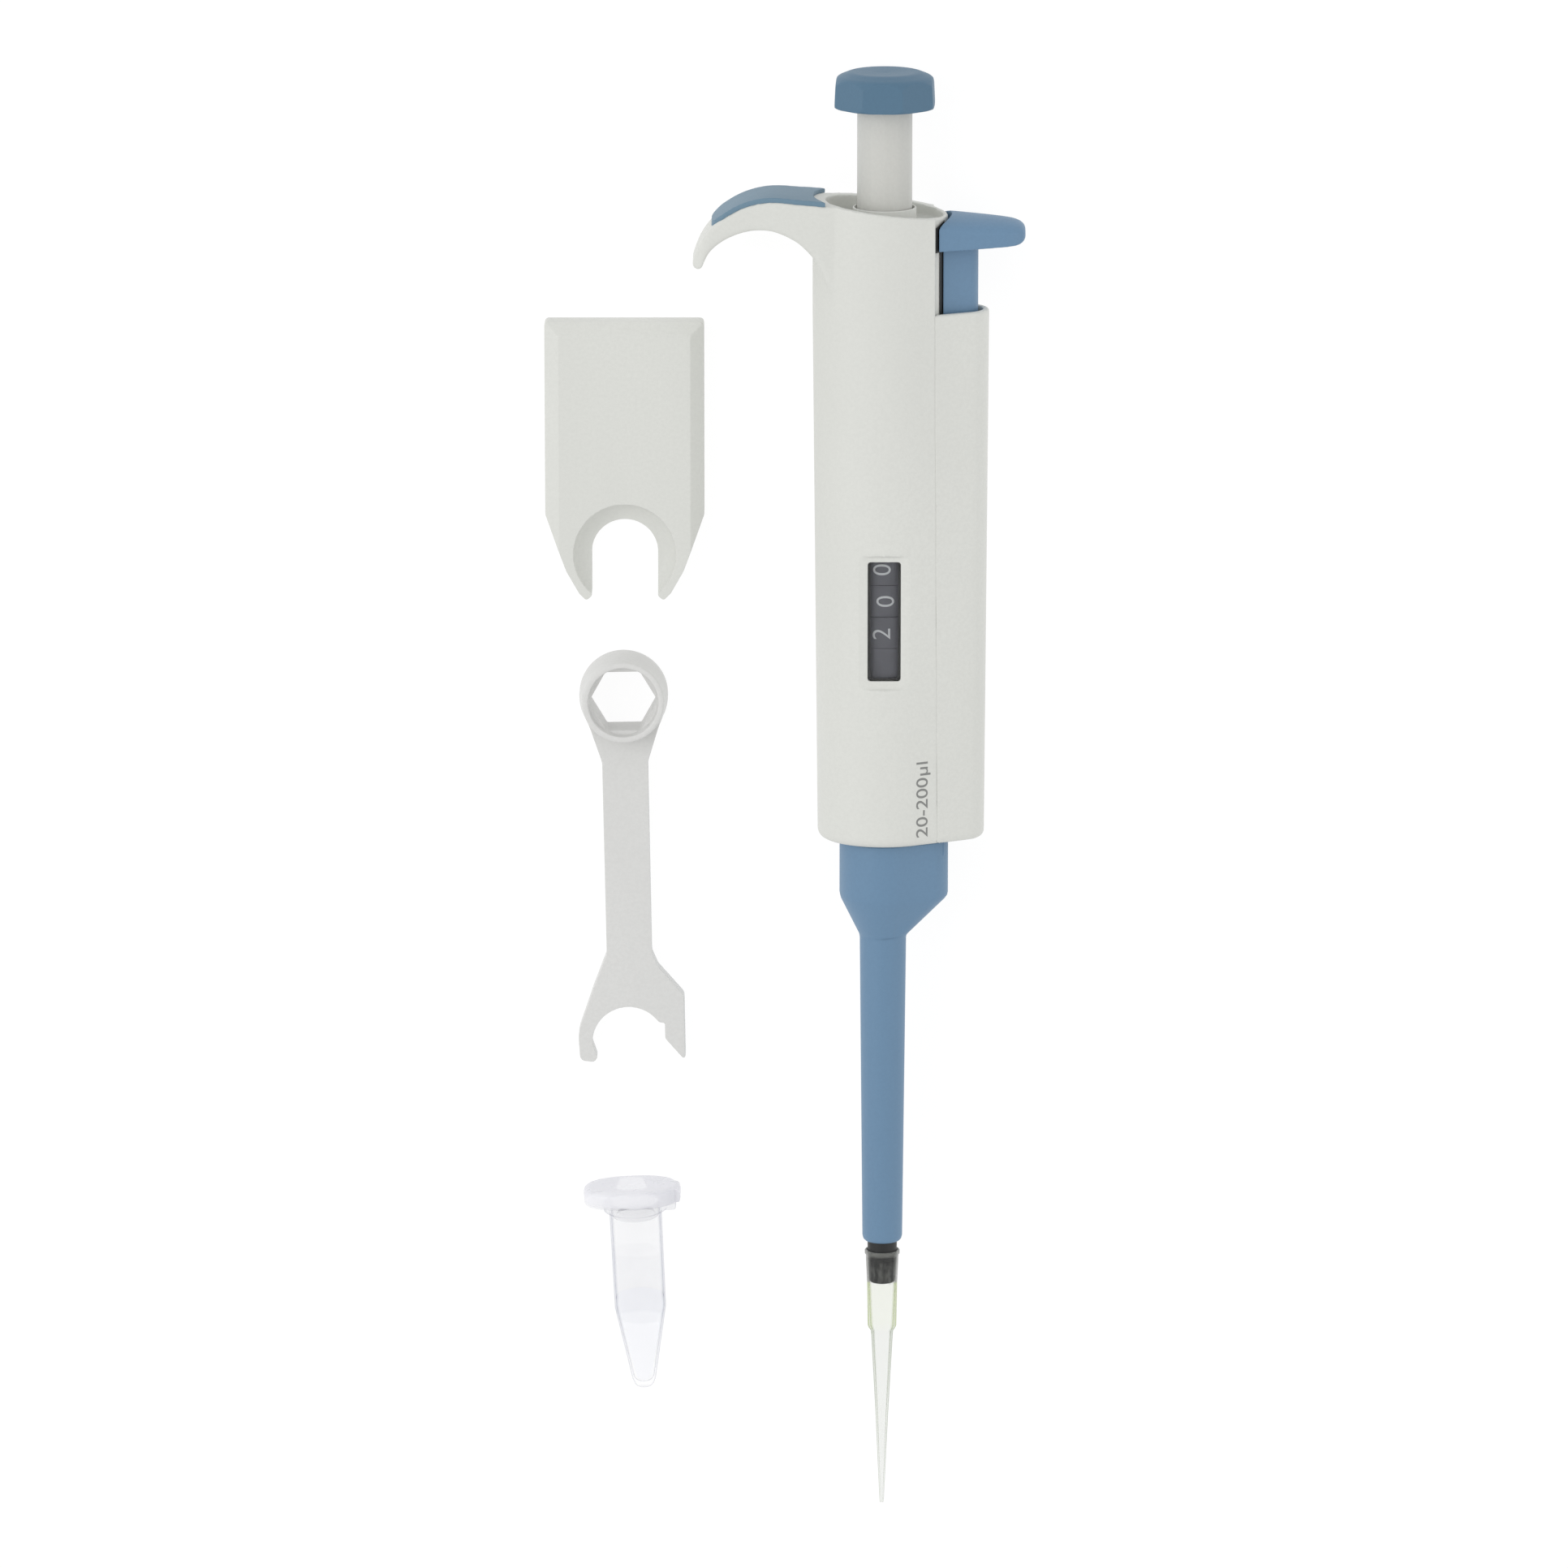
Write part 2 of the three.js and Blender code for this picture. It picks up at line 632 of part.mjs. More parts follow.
// The tube's own frame: +Y along its axis, the rim under the lid at y = 0.
function tubeBody() {
  const { radius, wall, length } = TUBE;
  const bottom = -length + 1.2;
  const body = turned([
    [radius - wall, 0], [radius - wall - 0.1, TUBE.shoulder], [1.5, bottom + 1.6], [0, bottom + 1],
    [0, bottom],
    [1.6, bottom + 0.4], [2.35, bottom + 1.6], [radius - 0.1, TUBE.shoulder], [radius, -1.8],
    [radius + 1.1, -1.6], [radius + 1.1, 0],
  ].reverse());
  return body.add(block(radius + 0.6, radius + 2.6, -1.4, -0.2, -2.2, 2.2));
}

function tubeLid() {
  const { radius, wall } = TUBE;
  const plug = radius - wall - 0.3;
  const disk = turned([
    [0, 1.5], [plug - 0.9, 1.5], [plug - 0.9, -2.6], [plug - 0.2, -3], [plug, -2.2], [plug - 0.1, GAP],
    [radius + 1.1, GAP], [radius + 1.1, 2.3], [radius + 0.6, 2.9], [0, 2.9],
  ]);
  const lip = loft([0.5, 2.6].map((y) => [
    [-5, -4.4], [-9, -2.6], [-10.3, -1], [-10.3, 1], [-9, 2.6], [-5, 4.4],
  ].map(([x, z]) => new THREE.Vector3(x, y, z))));
  const strap = block(radius + 0.4, radius + 3.2, 0.4, 1.6, -2.2, 2.2);
  return disk.add(lip).add(strap);
}

function greaseFill() {
  const clearance = 0.25;
  const { radius, wall, length } = TUBE;
  const inner = radius - wall - 0.1 - clearance;
  const level = TUBE.shoulder + 3;
  return turned([
    [0, -length + 2.8], [1.2, -length + 3.2], [inner, TUBE.shoulder], [inner, level], [0, level + 0.5],
  ], 24);
}

// ---- Materials ---------------------------------------------------------------------------------

const PAINTS = {
  shell: [0xd8d9d5, 0.55, 0],
  stem: [0xcdcec8, 0.5, 0],
  blue: [0x6b8daa, 0.5, 0],
  knobBlue: [0x5c798e, 0.5, 0],
  black: [0x2d3034, 0.4, 0],
  wheel: [0x5d5d61, 0.5, 0],
  clear: [0xf2f4f2, 0.1, 0],
  tip: [0xeff2e6, 0.2, 0],
  tube: [0xeeeef2, 0.25, 0],
  steel: [0xb9bcc0, 0.3, 1],
  brass: [0xb99b5a, 0.35, 1],
  seal: [0xe9e7e0, 0.4, 0],
  rubber: [0x26282a, 0.8, 0],
  tape: [0xf4f4f0, 0.8, 0],
  liner: [0xe3dfc8, 0.6, 0],
  grease: [0xe4e8ec, 0.3, 0],
};

function paint(name) {
  const [color, roughness, metalness] = PAINTS[name];
  return new THREE.MeshStandardMaterial({ name, color, roughness, metalness });
}

function piece(group, name, body, material) {
  const mesh = new THREE.Mesh(geometryOf(body), paint(material));
  mesh.name = name;
  group.add(mesh);
}

// ---- Assembly ----------------------------------------------------------------------------------

function buildPipette() {
  const group = new THREE.Group();
  group.position.set(AXIS.x, AXIS.y, AXIS.height);
  const add = (name, body, material) => piece(group, name, body, material);

  add('handle_body', handleBody(), 'shell');
  add('ejector_cover', ejectorCover(), 'shell');
  add('hook_pad', hookPad(), 'blue');
  add('counter_window', counterWindow(), 'clear');
  add('calibration_nut', calibrationNut(), 'stem');
  add('mechanism_frame', mechanismFrame(), 'black');
  add('counter_blank_ring', counterWheel(WHEEL.blank), 'wheel');
  add('pinion_shaft', disc(PINION.shaft, 27.4, 49.6, PINION.x, 0, 10), 'steel');

  add('push_button', pushButton(), 'knobBlue');
  add('plunger_stem', plungerStem(), 'stem');
  add('drive_shaft', driveShaft(), 'steel');
  add('piston_cap', pistonCap(), 'brass');
  add('piston', piston(), 'steel');

  add('volume_screw', volumeScrew(), 'brass');
  add('units_wheel', counterWheel(WHEEL.units), 'wheel');
  add('tens_wheel', counterWheel(WHEEL.tens), 'wheel');
  add('hundreds_wheel', counterWheel(WHEEL.hundreds), 'wheel');
  add('tens_pinion', transferPinion((WHEEL.units + WHEEL.tens) / 2), 'black');
  add('hundreds_pinion', transferPinion((WHEEL.tens + WHEEL.hundreds) / 2), 'black');
  add('volume_stop_nut', volumeStopNut(), 'brass');
  add('blowout_ring', blowoutRing(), 'steel');

  add('primary_spring', spring(4.3, 0.45, -5.1, PISTON.capBottom - 0.2, 6), 'steel');
  add('blowout_spring', spring(7.9, 0.5, FRAME.top + 0.2, BLOWOUT.ringBottom - 0.2, 3), 'steel');
  add('ejector_spring', spring(1.35, 0.3, 49.7, SHANK.bottom - 0.2, 11, 17.1), 'steel');

  add('cylinder_nut', cylinderNut(), 'black');
  add('piston_seal', sleeve(PISTON.radius + 0.15, 5, -11.7, -9.7, 24), 'seal');
  add('seal_ring', sealRing(), 'rubber');
  add('seal_retainer', sleeve(PISTON.radius + 0.3, 5, -7.5, -5.5, 24), 'brass');
  add('tip_cone', tipCone(), 'black');

  add('ejector_button', ejectorButton(), 'blue');
  add('ejector_rod', ejectorRod(), 'steel');
  add('ejector_sleeve', ejectorSleeve(), 'blue');
  add('pipette_tip', pipetteTip(), 'tip');
  return group;
}

function buildHolder() {
  const group = new THREE.Group();
  group.position.set(HOLDER.x, HOLDER.bottom, 0);
  piece(group, 'holder_plate', holderPlate(), 'shell');
  piece(group, 'holder_tape', padSheet(0, 0.3, 0.6), 'tape');
  piece(group, 'tape_liner', padSheet(0.4, 0, 0.1), 'liner');
  return group;
}

function buildTool() {
  const group = new THREE.Group();
  group.position.set(TOOL.x, TOOL.y, 0);
  group.rotation.z = THREE.MathUtils.degToRad(TOOL.lean);
  piece(group, 'opening_tool', calibrationTool(), 'shell');
  return group;
}

function buildTube() {
  const group = new THREE.Group();
  group.position.set(TUBE.x, TUBE.y, TUBE.height);
  group.rotation.set(THREE.MathUtils.degToRad(TUBE.pitch), 0, THREE.MathUtils.degToRad(TUBE.lean), 'ZXY');
  piece(group, 'tube_body', tubeBody(), 'tube');
  piece(group, 'tube_lid', tubeLid(), 'tube');
  piece(group, 'grease_fill', greaseFill(), 'grease');
  return group;
}

const set = new THREE.Group();
set.name = 'pipette_set';
set.add(buildPipette(), buildHolder(), buildTool(), buildTube());

export default set;
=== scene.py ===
"""Looks of the pipette set: an adjustable hand pipette, its wall holder, opening tool and grease tube.

Shapes are written in millimetres. Those of the pipette are about its own axis: X to the ejector
side, Y along the axis towards the push button, Z to the front. Each loose item has its own frame.
place() turns a finished shape into metres in the row frame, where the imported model's nodes lie.
"""

import json
import math

import bpy
import bmesh
from mathutils import Matrix, Vector
from mathutils.bvhtree import BVHTree


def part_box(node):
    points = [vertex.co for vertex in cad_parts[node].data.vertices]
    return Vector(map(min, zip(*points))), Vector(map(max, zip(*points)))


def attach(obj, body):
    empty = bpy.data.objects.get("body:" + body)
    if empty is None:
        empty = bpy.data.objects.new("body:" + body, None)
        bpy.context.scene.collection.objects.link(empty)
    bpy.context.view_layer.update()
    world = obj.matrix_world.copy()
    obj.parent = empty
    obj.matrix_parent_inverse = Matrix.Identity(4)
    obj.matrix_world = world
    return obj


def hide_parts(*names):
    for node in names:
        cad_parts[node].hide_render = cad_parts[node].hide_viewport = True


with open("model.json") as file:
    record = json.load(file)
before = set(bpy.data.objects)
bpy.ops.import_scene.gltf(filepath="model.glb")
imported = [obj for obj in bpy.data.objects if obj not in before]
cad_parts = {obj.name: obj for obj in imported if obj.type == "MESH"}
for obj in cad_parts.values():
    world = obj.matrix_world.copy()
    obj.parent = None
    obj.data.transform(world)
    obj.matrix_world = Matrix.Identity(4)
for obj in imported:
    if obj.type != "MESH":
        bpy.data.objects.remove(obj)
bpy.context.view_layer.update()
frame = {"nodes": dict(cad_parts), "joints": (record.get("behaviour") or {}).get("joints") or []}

MM = 0.001
TAU = 2 * math.pi
SCENE = bpy.context.scene


# ---- The frame's own places and sizes ----


def low(node):
    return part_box(node)[0] / MM


def high(node):
    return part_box(node)[1] / MM


def middle(node):
    return (low(node) + high(node)) / 2


def size(node):
    return high(node) - low(node)


HANDLE_BOTTOM = -10.6
AXIS = Vector((middle("plunger_stem").x, low("handle_body").y - HANDLE_BOTTOM, middle("plunger_stem").z))
LYING = AXIS.z


def along(value):
    """A place along the pipette's axis, from a Y of the row frame in millimetres."""
    return value - AXIS.y


KNOB_LOW, KNOB_TOP = along(low("push_button").y), along(high("push_button").y)
STEM_RADIUS = size("plunger_stem").x / 2
STEM_LOW, STEM_HIGH = along(low("plunger_stem").y), along(high("plunger_stem").y)
COVER_TOP = along(high("ejector_cover").y)
SHANK_BOTTOM = along(low("ejector_button").y)
NUT_LOW, NUT_TOP = along(low("calibration_nut").y), along(high("calibration_nut").y)
SLEEVE_END, SLEEVE_ARM_TOP = along(low("ejector_sleeve").y), along(high("ejector_sleeve").y)
CONE_END, CONE_TOP = along(low("tip_cone").y), along(high("tip_cone").y)
TIP_END, TIP_RIM = along(low("pipette_tip").y), along(high("pipette_tip").y)
TIP_RIM_RADIUS = size("pipette_tip").x / 2
WHEEL_RADIUS = size("units_wheel").z / 2
WHEEL_WIDTH = size("units_wheel").y

# The handle's section: half an ellipse on the hook side, straight flanks, a round nose.
HANDLE = {
    "front": 12.0,
    "back_fullness": 1.075,
    "left": (13.2, 14.3),
    "right": (20.3, 20.9),
    "shoulder": math.pi / 3,
    "seam": (10.85, 10.0),
    "bore": 9.5,
}
CUP = {"outer": 12.6, "inner": (11.7, 10.7), "floor": 114.5, "rim_middle": 118.0, "rim_slope": -0.124}

# The finger hook: top and underside in X and Y, half width along X, and the round end (x, y, radius).
HOOK = {
    "top": [
        (-14, 119.6), (-17, 119.8), (-20.3, 120.1), (-23.1, 120.1), (-26, 119.6), (-29, 118.5),
        (-32.3, 116.5), (-34.6, 114.4), (-36.6, 111.6), (-38.1, 108),
    ],
    "underside": [
        (-36.1, 107.2), (-34.6, 109.9), (-31.4, 112.4), (-27, 114), (-22.5, 114.1), (-18, 112.3),
        (-14.9, 109.6), (-13, 106.6), (-11.6, 103.4), (-10, 101.2),
    ],
    "width": [(-5, 8.8), (-14, 8.6), (-20, 8.1), (-26, 7.2), (-32, 6.7), (-36, 6.3), (-38.3, 5)],
    "tip": (-37.15, 107.2, 1.05),
}
PAD = {"thickness": 0.8, "left": -34.4, "half": 6.6, "arc_x": 3.0, "arc_radius": 17.1}
WINDOW = {"half": 3.3, "low": 23.7, "high": 48.0, "pocket": 0.85}

# The ejector's button along X: half depth, underside, where its arched top starts, and its crown.
BUTTON = {
    "hollow": 13.4,
    "inner": 10.55,
    "shank_inner": 10.85,
    "sections": [
        (9, 8.6, 110.1, 114.6, 117.1), (14, 7.5, 110.2, 114.0, 116.8), (20, 6.3, 110.45, 113.3, 116.3),
        (24.6, 5.4, 110.7, 113.0, 115.75), (26.6, 4.7, 111.0, 112.9, 115.2), (27.6, 3.8, 111.6, 112.9, 114.5),
        (28, 2.6, 112.2, 112.9, 113.8),
    ],
}
SHANK_INSET = 2.2


# ---- Mesh tools ----


def new_object(name, mesh):
    obj = bpy.data.objects.new(name, mesh)
    SCENE.collection.objects.link(obj)
    return obj


def from_faces(name, points, faces):
    mesh = bpy.data.meshes.new(name)
    mesh.from_pydata([tuple(p) for p in points], [], faces)
    build = bmesh.new()
    build.from_mesh(mesh)
    bmesh.ops.remove_doubles(build, verts=build.verts, dist=1e-4)
    bmesh.ops.dissolve_degenerate(build, edges=build.edges, dist=1e-5)
    bmesh.ops.recalc_face_normals(build, faces=build.faces)
    build.to_mesh(mesh)
    build.free()
    return new_object(name, mesh)


def rings_object(name, rings, loop=False):
    """A skin over rings of equally many points, capped at both ends or closed on itself."""
    count = len(rings[0])
    points = [p for ring in rings for p in ring]
    faces = []
    for level in range(len(rings) if loop else len(rings) - 1):
        here = level * count
        there = ((level + 1) % len(rings)) * count
        for i in range(count):
            j = (i + 1) % count
            faces.append((here + i, here + j, there + j, there + i))
    if not loop:
        faces.append(tuple(range(count)))
        faces.append(tuple(range(len(points) - 1, len(points) - count - 1, -1)))
    return from_faces(name, points, faces)


def turned(name, profile, sides=96):
    """A round piece about the Y axis from (radius, y) pairs; the profile closes on itself."""
    rings = []
    for radius, y in profile:
        turn = [TAU * i / sides for i in range(sides)]
        rings.append([Vector((radius * math.sin(a), y, radius * math.cos(a))) for a in turn])
    return rings_object(name, rings, loop=True)


def softened(corners, steps=5):
    """Rounds the corners of a closed outline; each corner is (x, y) or (x, y, radius)."""
    outline = []
    count = len(corners)
    for i, corner in enumerate(corners):
        here = Vector(corner[:2])
        radius = corner[2] if len(corner) > 2 else 0.0
        before = Vector(corners[i - 1][:2]) - here
        after = Vector(corners[(i + 1) % count][:2]) - here
        if radius <= 0 or before.length < 1e-6 or after.length < 1e-6:
            outline.append(tuple(here))
            continue
        angle = before.angle(after)
        if angle > math.pi - 0.02:
            outline.append(tuple(here))
            continue
        reach = min(radius / math.tan(angle / 2), before.length * 0.49, after.length * 0.49)
        radius = reach * math.tan(angle / 2)
        bisector = (before.normalized() + after.normalized()).normalized()
        centre = here + bisector * radius / math.sin(angle / 2)
        start = here + before.normalized() * reach - centre
        end = here + after.normalized() * reach - centre
        sweep = start.angle_signed(end)
        for k in range(steps + 1):
            turn = Matrix.Rotation(-sweep * k / steps, 2)
            outline.append(tuple(centre + turn @ start))
    return outline


def plate(name, outline, z0, z1):
    """An outline in X and Y between two heights."""
    return rings_object(name, [[Vector((x, y, z)) for x, y in outline] for z in (z0, z1)])


def bar(name, outline, y0, y1):
    """An outline in X and Z between two places along Y."""
    return rings_object(name, [[Vector((x, y, z)) for x, z in outline] for y in (y0, y1)])


def block(x0, x1, y0, y1, z0, z1):
    return plate("tool", [(x0, y0), (x1, y0), (x1, y1), (x0, y1)], z0, z1)


def disc(radius, y0, y1, x=0.0, sides=96):
    outline = [
        (x + radius * math.cos(TAU * i / sides), radius * math.sin(TAU * i / sides))
        for i in range(sides)
    ]
    return bar("tool", outline, y0, y1)


def bake(obj):
    """Replaces the object's mesh by what its modifiers make of it."""
    graph = bpy.context.evaluated_depsgraph_get()
    mesh = bpy.data.meshes.new_from_object(obj.evaluated_get(graph))
    obj.modifiers.clear()
    old = obj.data
    obj.data = mesh
    bpy.data.meshes.remove(old)


def combine(obj, tool, operation):
    modifier = obj.modifiers.new("combine", "BOOLEAN")
    modifier.object = tool
    modifier.operation = operation
    modifier.solver = "EXACT"
    bake(obj)
    bpy.data.objects.remove(tool)
    return obj


def cut(obj, *tools):
    for tool in tools:
        combine(obj, tool, "DIFFERENCE")
    return obj


def add(obj, *tools):
    for tool in tools:
        combine(obj, tool, "UNION")
    return obj


def common(obj, tool):
    return combine(obj, tool, "INTERSECT")


def thin(obj, keep):
    """Leaves the given share of an even mesh's faces, fewest where it is flat."""
    modifier = obj.modifiers.new("thin", "DECIMATE")
    modifier.ratio = keep
    bake(obj)


def mould(obj, voxel, passes, keep=0.5):
    """Gives a cut shape the soft edges of a moulded part: even mesh, light smoothing, thinned."""
    remesh = obj.modifiers.new("even", "REMESH")
    remesh.mode = "VOXEL"
    remesh.voxel_size = voxel
    smooth = obj.modifiers.new("soft", "SMOOTH")
    smooth.factor = 0.5
    smooth.iterations = passes
    bake(obj)
    if keep < 1:
        thin(obj, keep)
    return obj


def smooth_near(obj, centres, reach, passes):
    """Smooths the mesh near some points, to run one surface gently into another."""
    group = obj.vertex_groups.new(name="near")
    for vertex in obj.data.vertices:
        gap = min((vertex.co - centre).length for centre in centres) / reach
        if gap < 1:
            group.add([vertex.index], 1 - gap * gap, "REPLACE")
    modifier = obj.modifiers.new("blend", "SMOOTH")
    modifier.vertex_group = "near"
    modifier.factor = 0.5
    modifier.iterations = passes
    bake(obj)
    obj.vertex_groups.clear()


def place(obj, to_row=None):
    """Moves a finished shape from its own frame in millimetres to the row frame in metres."""
    matrix = to_row or Matrix.Translation(AXIS)
    obj.data.transform(Matrix.Scale(MM, 4) @ matrix)


def show(obj, name, material, body, slot, *nodes, to_row=None, angle=40):
    """Puts a finished piece in its place, with its material, body and the nodes it replaces; slot is not
    used.
    """
    obj.name = name
    obj.data.name = name
    place(obj, to_row)
    for polygon in obj.data.polygons:
        polygon.use_smooth = True
    obj.data.set_sharp_from_angle(angle=math.radians(angle))
    obj.data.materials.clear()
    obj.data.materials.append(material)
    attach(obj, body)
    if nodes:
        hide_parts(*nodes)
    return obj


# ---- Materials ----


def srgb(red, green, blue):
    """Linear colour from 0-255 display values."""
    def line(value):
        value /= 255
        return value / 12.92 if value <= 0.04045 else ((value + 0.055) / 1.055) ** 2.4
    return (line(red), line(green), line(blue), 1.0)


class Material:
    """A Principled material with the node tree built around object-space coordinates in metres."""

    def __init__(self, name, colour, roughness, **constants):
        self.material = bpy.data.materials.new(name)
        self.material.use_nodes = True
        self.nodes = self.material.node_tree.nodes
        self.links = self.material.node_tree.links
        self.shader = self.nodes["Principled BSDF"]
        self.shader.inputs["Base Color"].default_value = colour
        self.shader.inputs["Roughness"].default_value = roughness
        for socket, value in constants.items():
            self.shader.inputs[socket.replace("_", " ")].default_value = value
        self.colour = colour
        self.roughness = roughness
        self.place = self.nodes.new("ShaderNodeTexCoord").outputs["Object"]
        self.normal = None

    def noise(self, scale, detail=3.0, roughness=0.5, stretch=None):
        node = self.nodes.new("ShaderNodeTexNoise")
        node.inputs["Scale"].default_value = scale
        node.inputs["Detail"].default_value = detail
        node.inputs["Roughness"].default_value = roughness
        source = self.place
        if stretch:
            mapping = self.nodes.new("ShaderNodeMapping")
            mapping.inputs["Scale"].default_value = stretch
            self.links.new(self.place, mapping.inputs["Vector"])
            source = mapping.outputs["Vector"]
        self.links.new(source, node.inputs["Vector"])
        return node.outputs["Fac"]

    def ramp(self, value, low_at, high_at, low_to, high_to):
        node = self.nodes.new("ShaderNodeMapRange")
        node.inputs["From Min"].default_value = low_at
        node.inputs["From Max"].default_value = high_at
        node.inputs["To Min"].default_value = low_to
        node.inputs["To Max"].default_value = high_to
        self.links.new(value, node.inputs["Value"])
        return node.outputs["Result"]

    def along(self, place, soft):
        """0 on one side of a place along Y, 1 beyond it, both in millimetres of the row frame."""
        parts = self.nodes.new("ShaderNodeSeparateXYZ")
        self.links.new(self.place, parts.inputs["Vector"])
        return self.ramp(parts.outputs["Y"], (place - soft) * MM, (place + soft) * MM, 0.0, 1.0)

    def belt(self, start, end):
        """1 between two places along Y, 0 elsewhere."""
        return self.times(self.along(start, 0.3), self.less(self.along(end, 0.3)))

    def math(self, operation, first, second):
        node = self.nodes.new("ShaderNodeMath")
        node.operation = operation
        for socket, value in zip(node.inputs, (first, second)):
            if isinstance(value, (int, float)):
                socket.default_value = value
            else:
                self.links.new(value, socket)
        return node.outputs["Value"]

    def plus(self, first, second):
        return self.math("ADD", first, second)

    def times(self, first, second):
        return self.math("MULTIPLY", first, second)

    def less(self, value):
        return self.math("SUBTRACT", 1.0, value)

    def tint(self, value, colour, amount):
        """Mixes the base colour towards another where value is high."""
        mix = self.nodes.new("ShaderNodeMix")
        mix.data_type = "RGBA"
        current = self.shader.inputs["Base Color"]
        if current.is_linked:
            self.links.new(current.links[0].from_socket, mix.inputs["A"])
        else:
            mix.inputs["A"].default_value = self.colour
        mix.inputs["B"].default_value = colour
        self.links.new(self.ramp(value, 0.35, 0.65, 0.0, amount), mix.inputs["Factor"])
        self.links.new(mix.outputs["Result"], current)

    def bump(self, value, distance, strength=1.0):
        node = self.nodes.new("ShaderNodeBump")
        node.inputs["Distance"].default_value = distance
        node.inputs["Strength"].default_value = strength
        self.links.new(value, node.inputs["Height"])
        if self.normal:
            self.links.new(self.normal, node.inputs["Normal"])
        self.normal = node.outputs["Normal"]
        self.links.new(self.normal, self.shader.inputs["Normal"])

    def vary_roughness(self, value, spread):
        low_to, high_to = self.roughness - spread, self.roughness + spread
        self.links.new(self.ramp(value, 0.3, 0.7, low_to, high_to), self.shader.inputs["Roughness"])


def darker(colour, factor):
    return tuple(c * factor for c in colour[:3]) + (1.0,)


def moulded(name, colour, roughness=0.5, grain=2600.0, depth=0.00004):
    """Fine-grained moulded plastic: spark texture, faint flow marks, uneven gloss."""
    m = Material(name, colour, roughness, Specular_IOR_Level=0.4)
    fine = m.noise(grain, 4.0, 0.6)
    flow = m.noise(38.0, 3.0, 0.5, stretch=(1.0, 0.35, 1.0))
    speck = m.noise(grain * 0.55, 2.0, 0.7)
    m.tint(flow, darker(colour, 0.93), 0.55)
    m.tint(speck, darker(colour, 0.90), 0.45)
    m.vary_roughness(flow, 0.06)
    m.bump(fine, depth, 0.55)
    return m.material


def turned_metal(name, colour, roughness=0.3):
    m = Material(name, colour, roughness, Metallic=1.0)
    rings = m.noise(900.0, 3.0, 0.6, stretch=(0.05, 6.0, 0.05))
    m.vary_roughness(rings, 0.08)
    m.bump(rings, 0.00002, 0.4)
    return m.material


def pane_plastic(name, colour, roughness):
    m = Material(name, colour, roughness, Transmission_Weight=1.0, IOR=1.3, Specular_IOR_Level=0.5)
    m.bump(m.noise(140.0, 2.0, 0.5), 0.00001, 0.08)
    return m.material


def clear_gel(name, colour, roughness):
    """A clear filling made by transmission, so it is no layer of the see-through plastics round it."""
    m = Material(name, colour, roughness, Transmission_Weight=1.0, IOR=1.02, Specular_IOR_Level=0.5)
    m.vary_roughness(m.noise(300.0, 2.0, 0.5), roughness * 0.5)
    return m.material


def thin_clear(
    name, colour, roughness, wall, edge, rise=(0.55, 0.88), belts=(), uneven=0.15, ragged=None,
    upper=None, lower=None,
):
    """A thin clear wall: it hides little seen squarely and more where it is seen edge on.

    wall and edge are its opacities there, and rise is where it turns from one to the other. Each
    belt (from, to, more) along Y is that much more opaque, give or take the share uneven, and a
    ragged one is so in streaks. upper and lower (level, colour) recolour it past a level.
    """
    m = Material(name, colour, roughness, IOR=1.46, Specular_IOR_Level=0.5)
    facing = m.nodes.new("ShaderNodeLayerWeight")
    facing.inputs["Blend"].default_value = 0.5
    opacity = m.ramp(facing.outputs["Facing"], *rise, wall, edge)
    clouds = m.noise(260.0, 3.0, 0.55)
    for start, end, more in belts:
        cloudy = m.ramp(clouds, 0.3, 0.7, more * (1 - uneven), more * (1 + uneven))
        opacity = m.plus(opacity, m.times(m.belt(start, end), cloudy))
    if ragged:
        start, end, more = ragged
        streaks = m.noise(1100.0, 3.0, 0.6, stretch=(1.0, 0.35, 1.0))
        opacity = m.plus(opacity, m.times(m.belt(start, end), m.ramp(streaks, 0.46, 0.62, 0.0, more)))
    if upper:
        m.tint(m.along(upper[0], 0.2), upper[1], 1.0)
    if lower:
        m.tint(m.less(m.along(lower[0], 0.2)), lower[1], 1.0)
    m.links.new(opacity, m.shader.inputs["Alpha"])
    m.vary_roughness(clouds, roughness * 0.25)
    return m.material


def printed(name, colour, roughness=0.45):
    m = Material(name, colour, roughness)
    m.tint(m.noise(5200.0, 2.0), darker(colour, 0.8), 0.4)
    return m.material


SHELL = moulded("shell_plastic", srgb(215, 216, 211), 0.52)
TOOL_SHELL = moulded("tool_plastic", srgb(213, 213, 211), 0.5)
STEM_GREY = moulded("stem_plastic", srgb(203, 203, 198), 0.46)
BLUE = moulded("blue_plastic", srgb(104, 136, 165), 0.48)
PAD_BLUE = moulded("pad_plastic", srgb(106, 134, 153), 0.5)
KNOB_BLUE = moulded("knob_plastic", srgb(80, 113, 137), 0.5)
BLACK = moulded("black_plastic", srgb(33, 34, 34), 0.42)
WHEEL = moulded("wheel_plastic", srgb(106, 106, 115), 0.5, grain=1500.0)
DIGIT = printed("digit_print", srgb(214, 216, 220))
MARK = printed("mark_print", srgb(128, 129, 127))
PANE = pane_plastic("window_plastic", (0.97, 0.98, 0.97, 1.0), 0.03)
STEEL = turned_metal("turned_steel", (0.62, 0.63, 0.65, 1.0))
BRASS = turned_metal("turned_brass", (0.66, 0.50, 0.22, 1.0), 0.34)
SEAL = moulded("seal_plastic", srgb(232, 230, 224), 0.4)
RUBBER = moulded("seal_rubber", srgb(40, 42, 44), 0.7, grain=1400.0)
TAPE = moulded("foam_tape", srgb(243, 243, 239), 0.85, grain=900.0, depth=0.0001)
LINER = moulded("release_paper", srgb(226, 221, 199), 0.55, grain=500.0)


# ---- Handle ----


def arc(cx, rx, rz, start, end, steps, y):
    turns = [start + (end - start) * i / steps for i in range(steps + 1)]
    return [Vector((cx + rx * math.cos(a), y, rz * math.sin(a))) for a in turns]


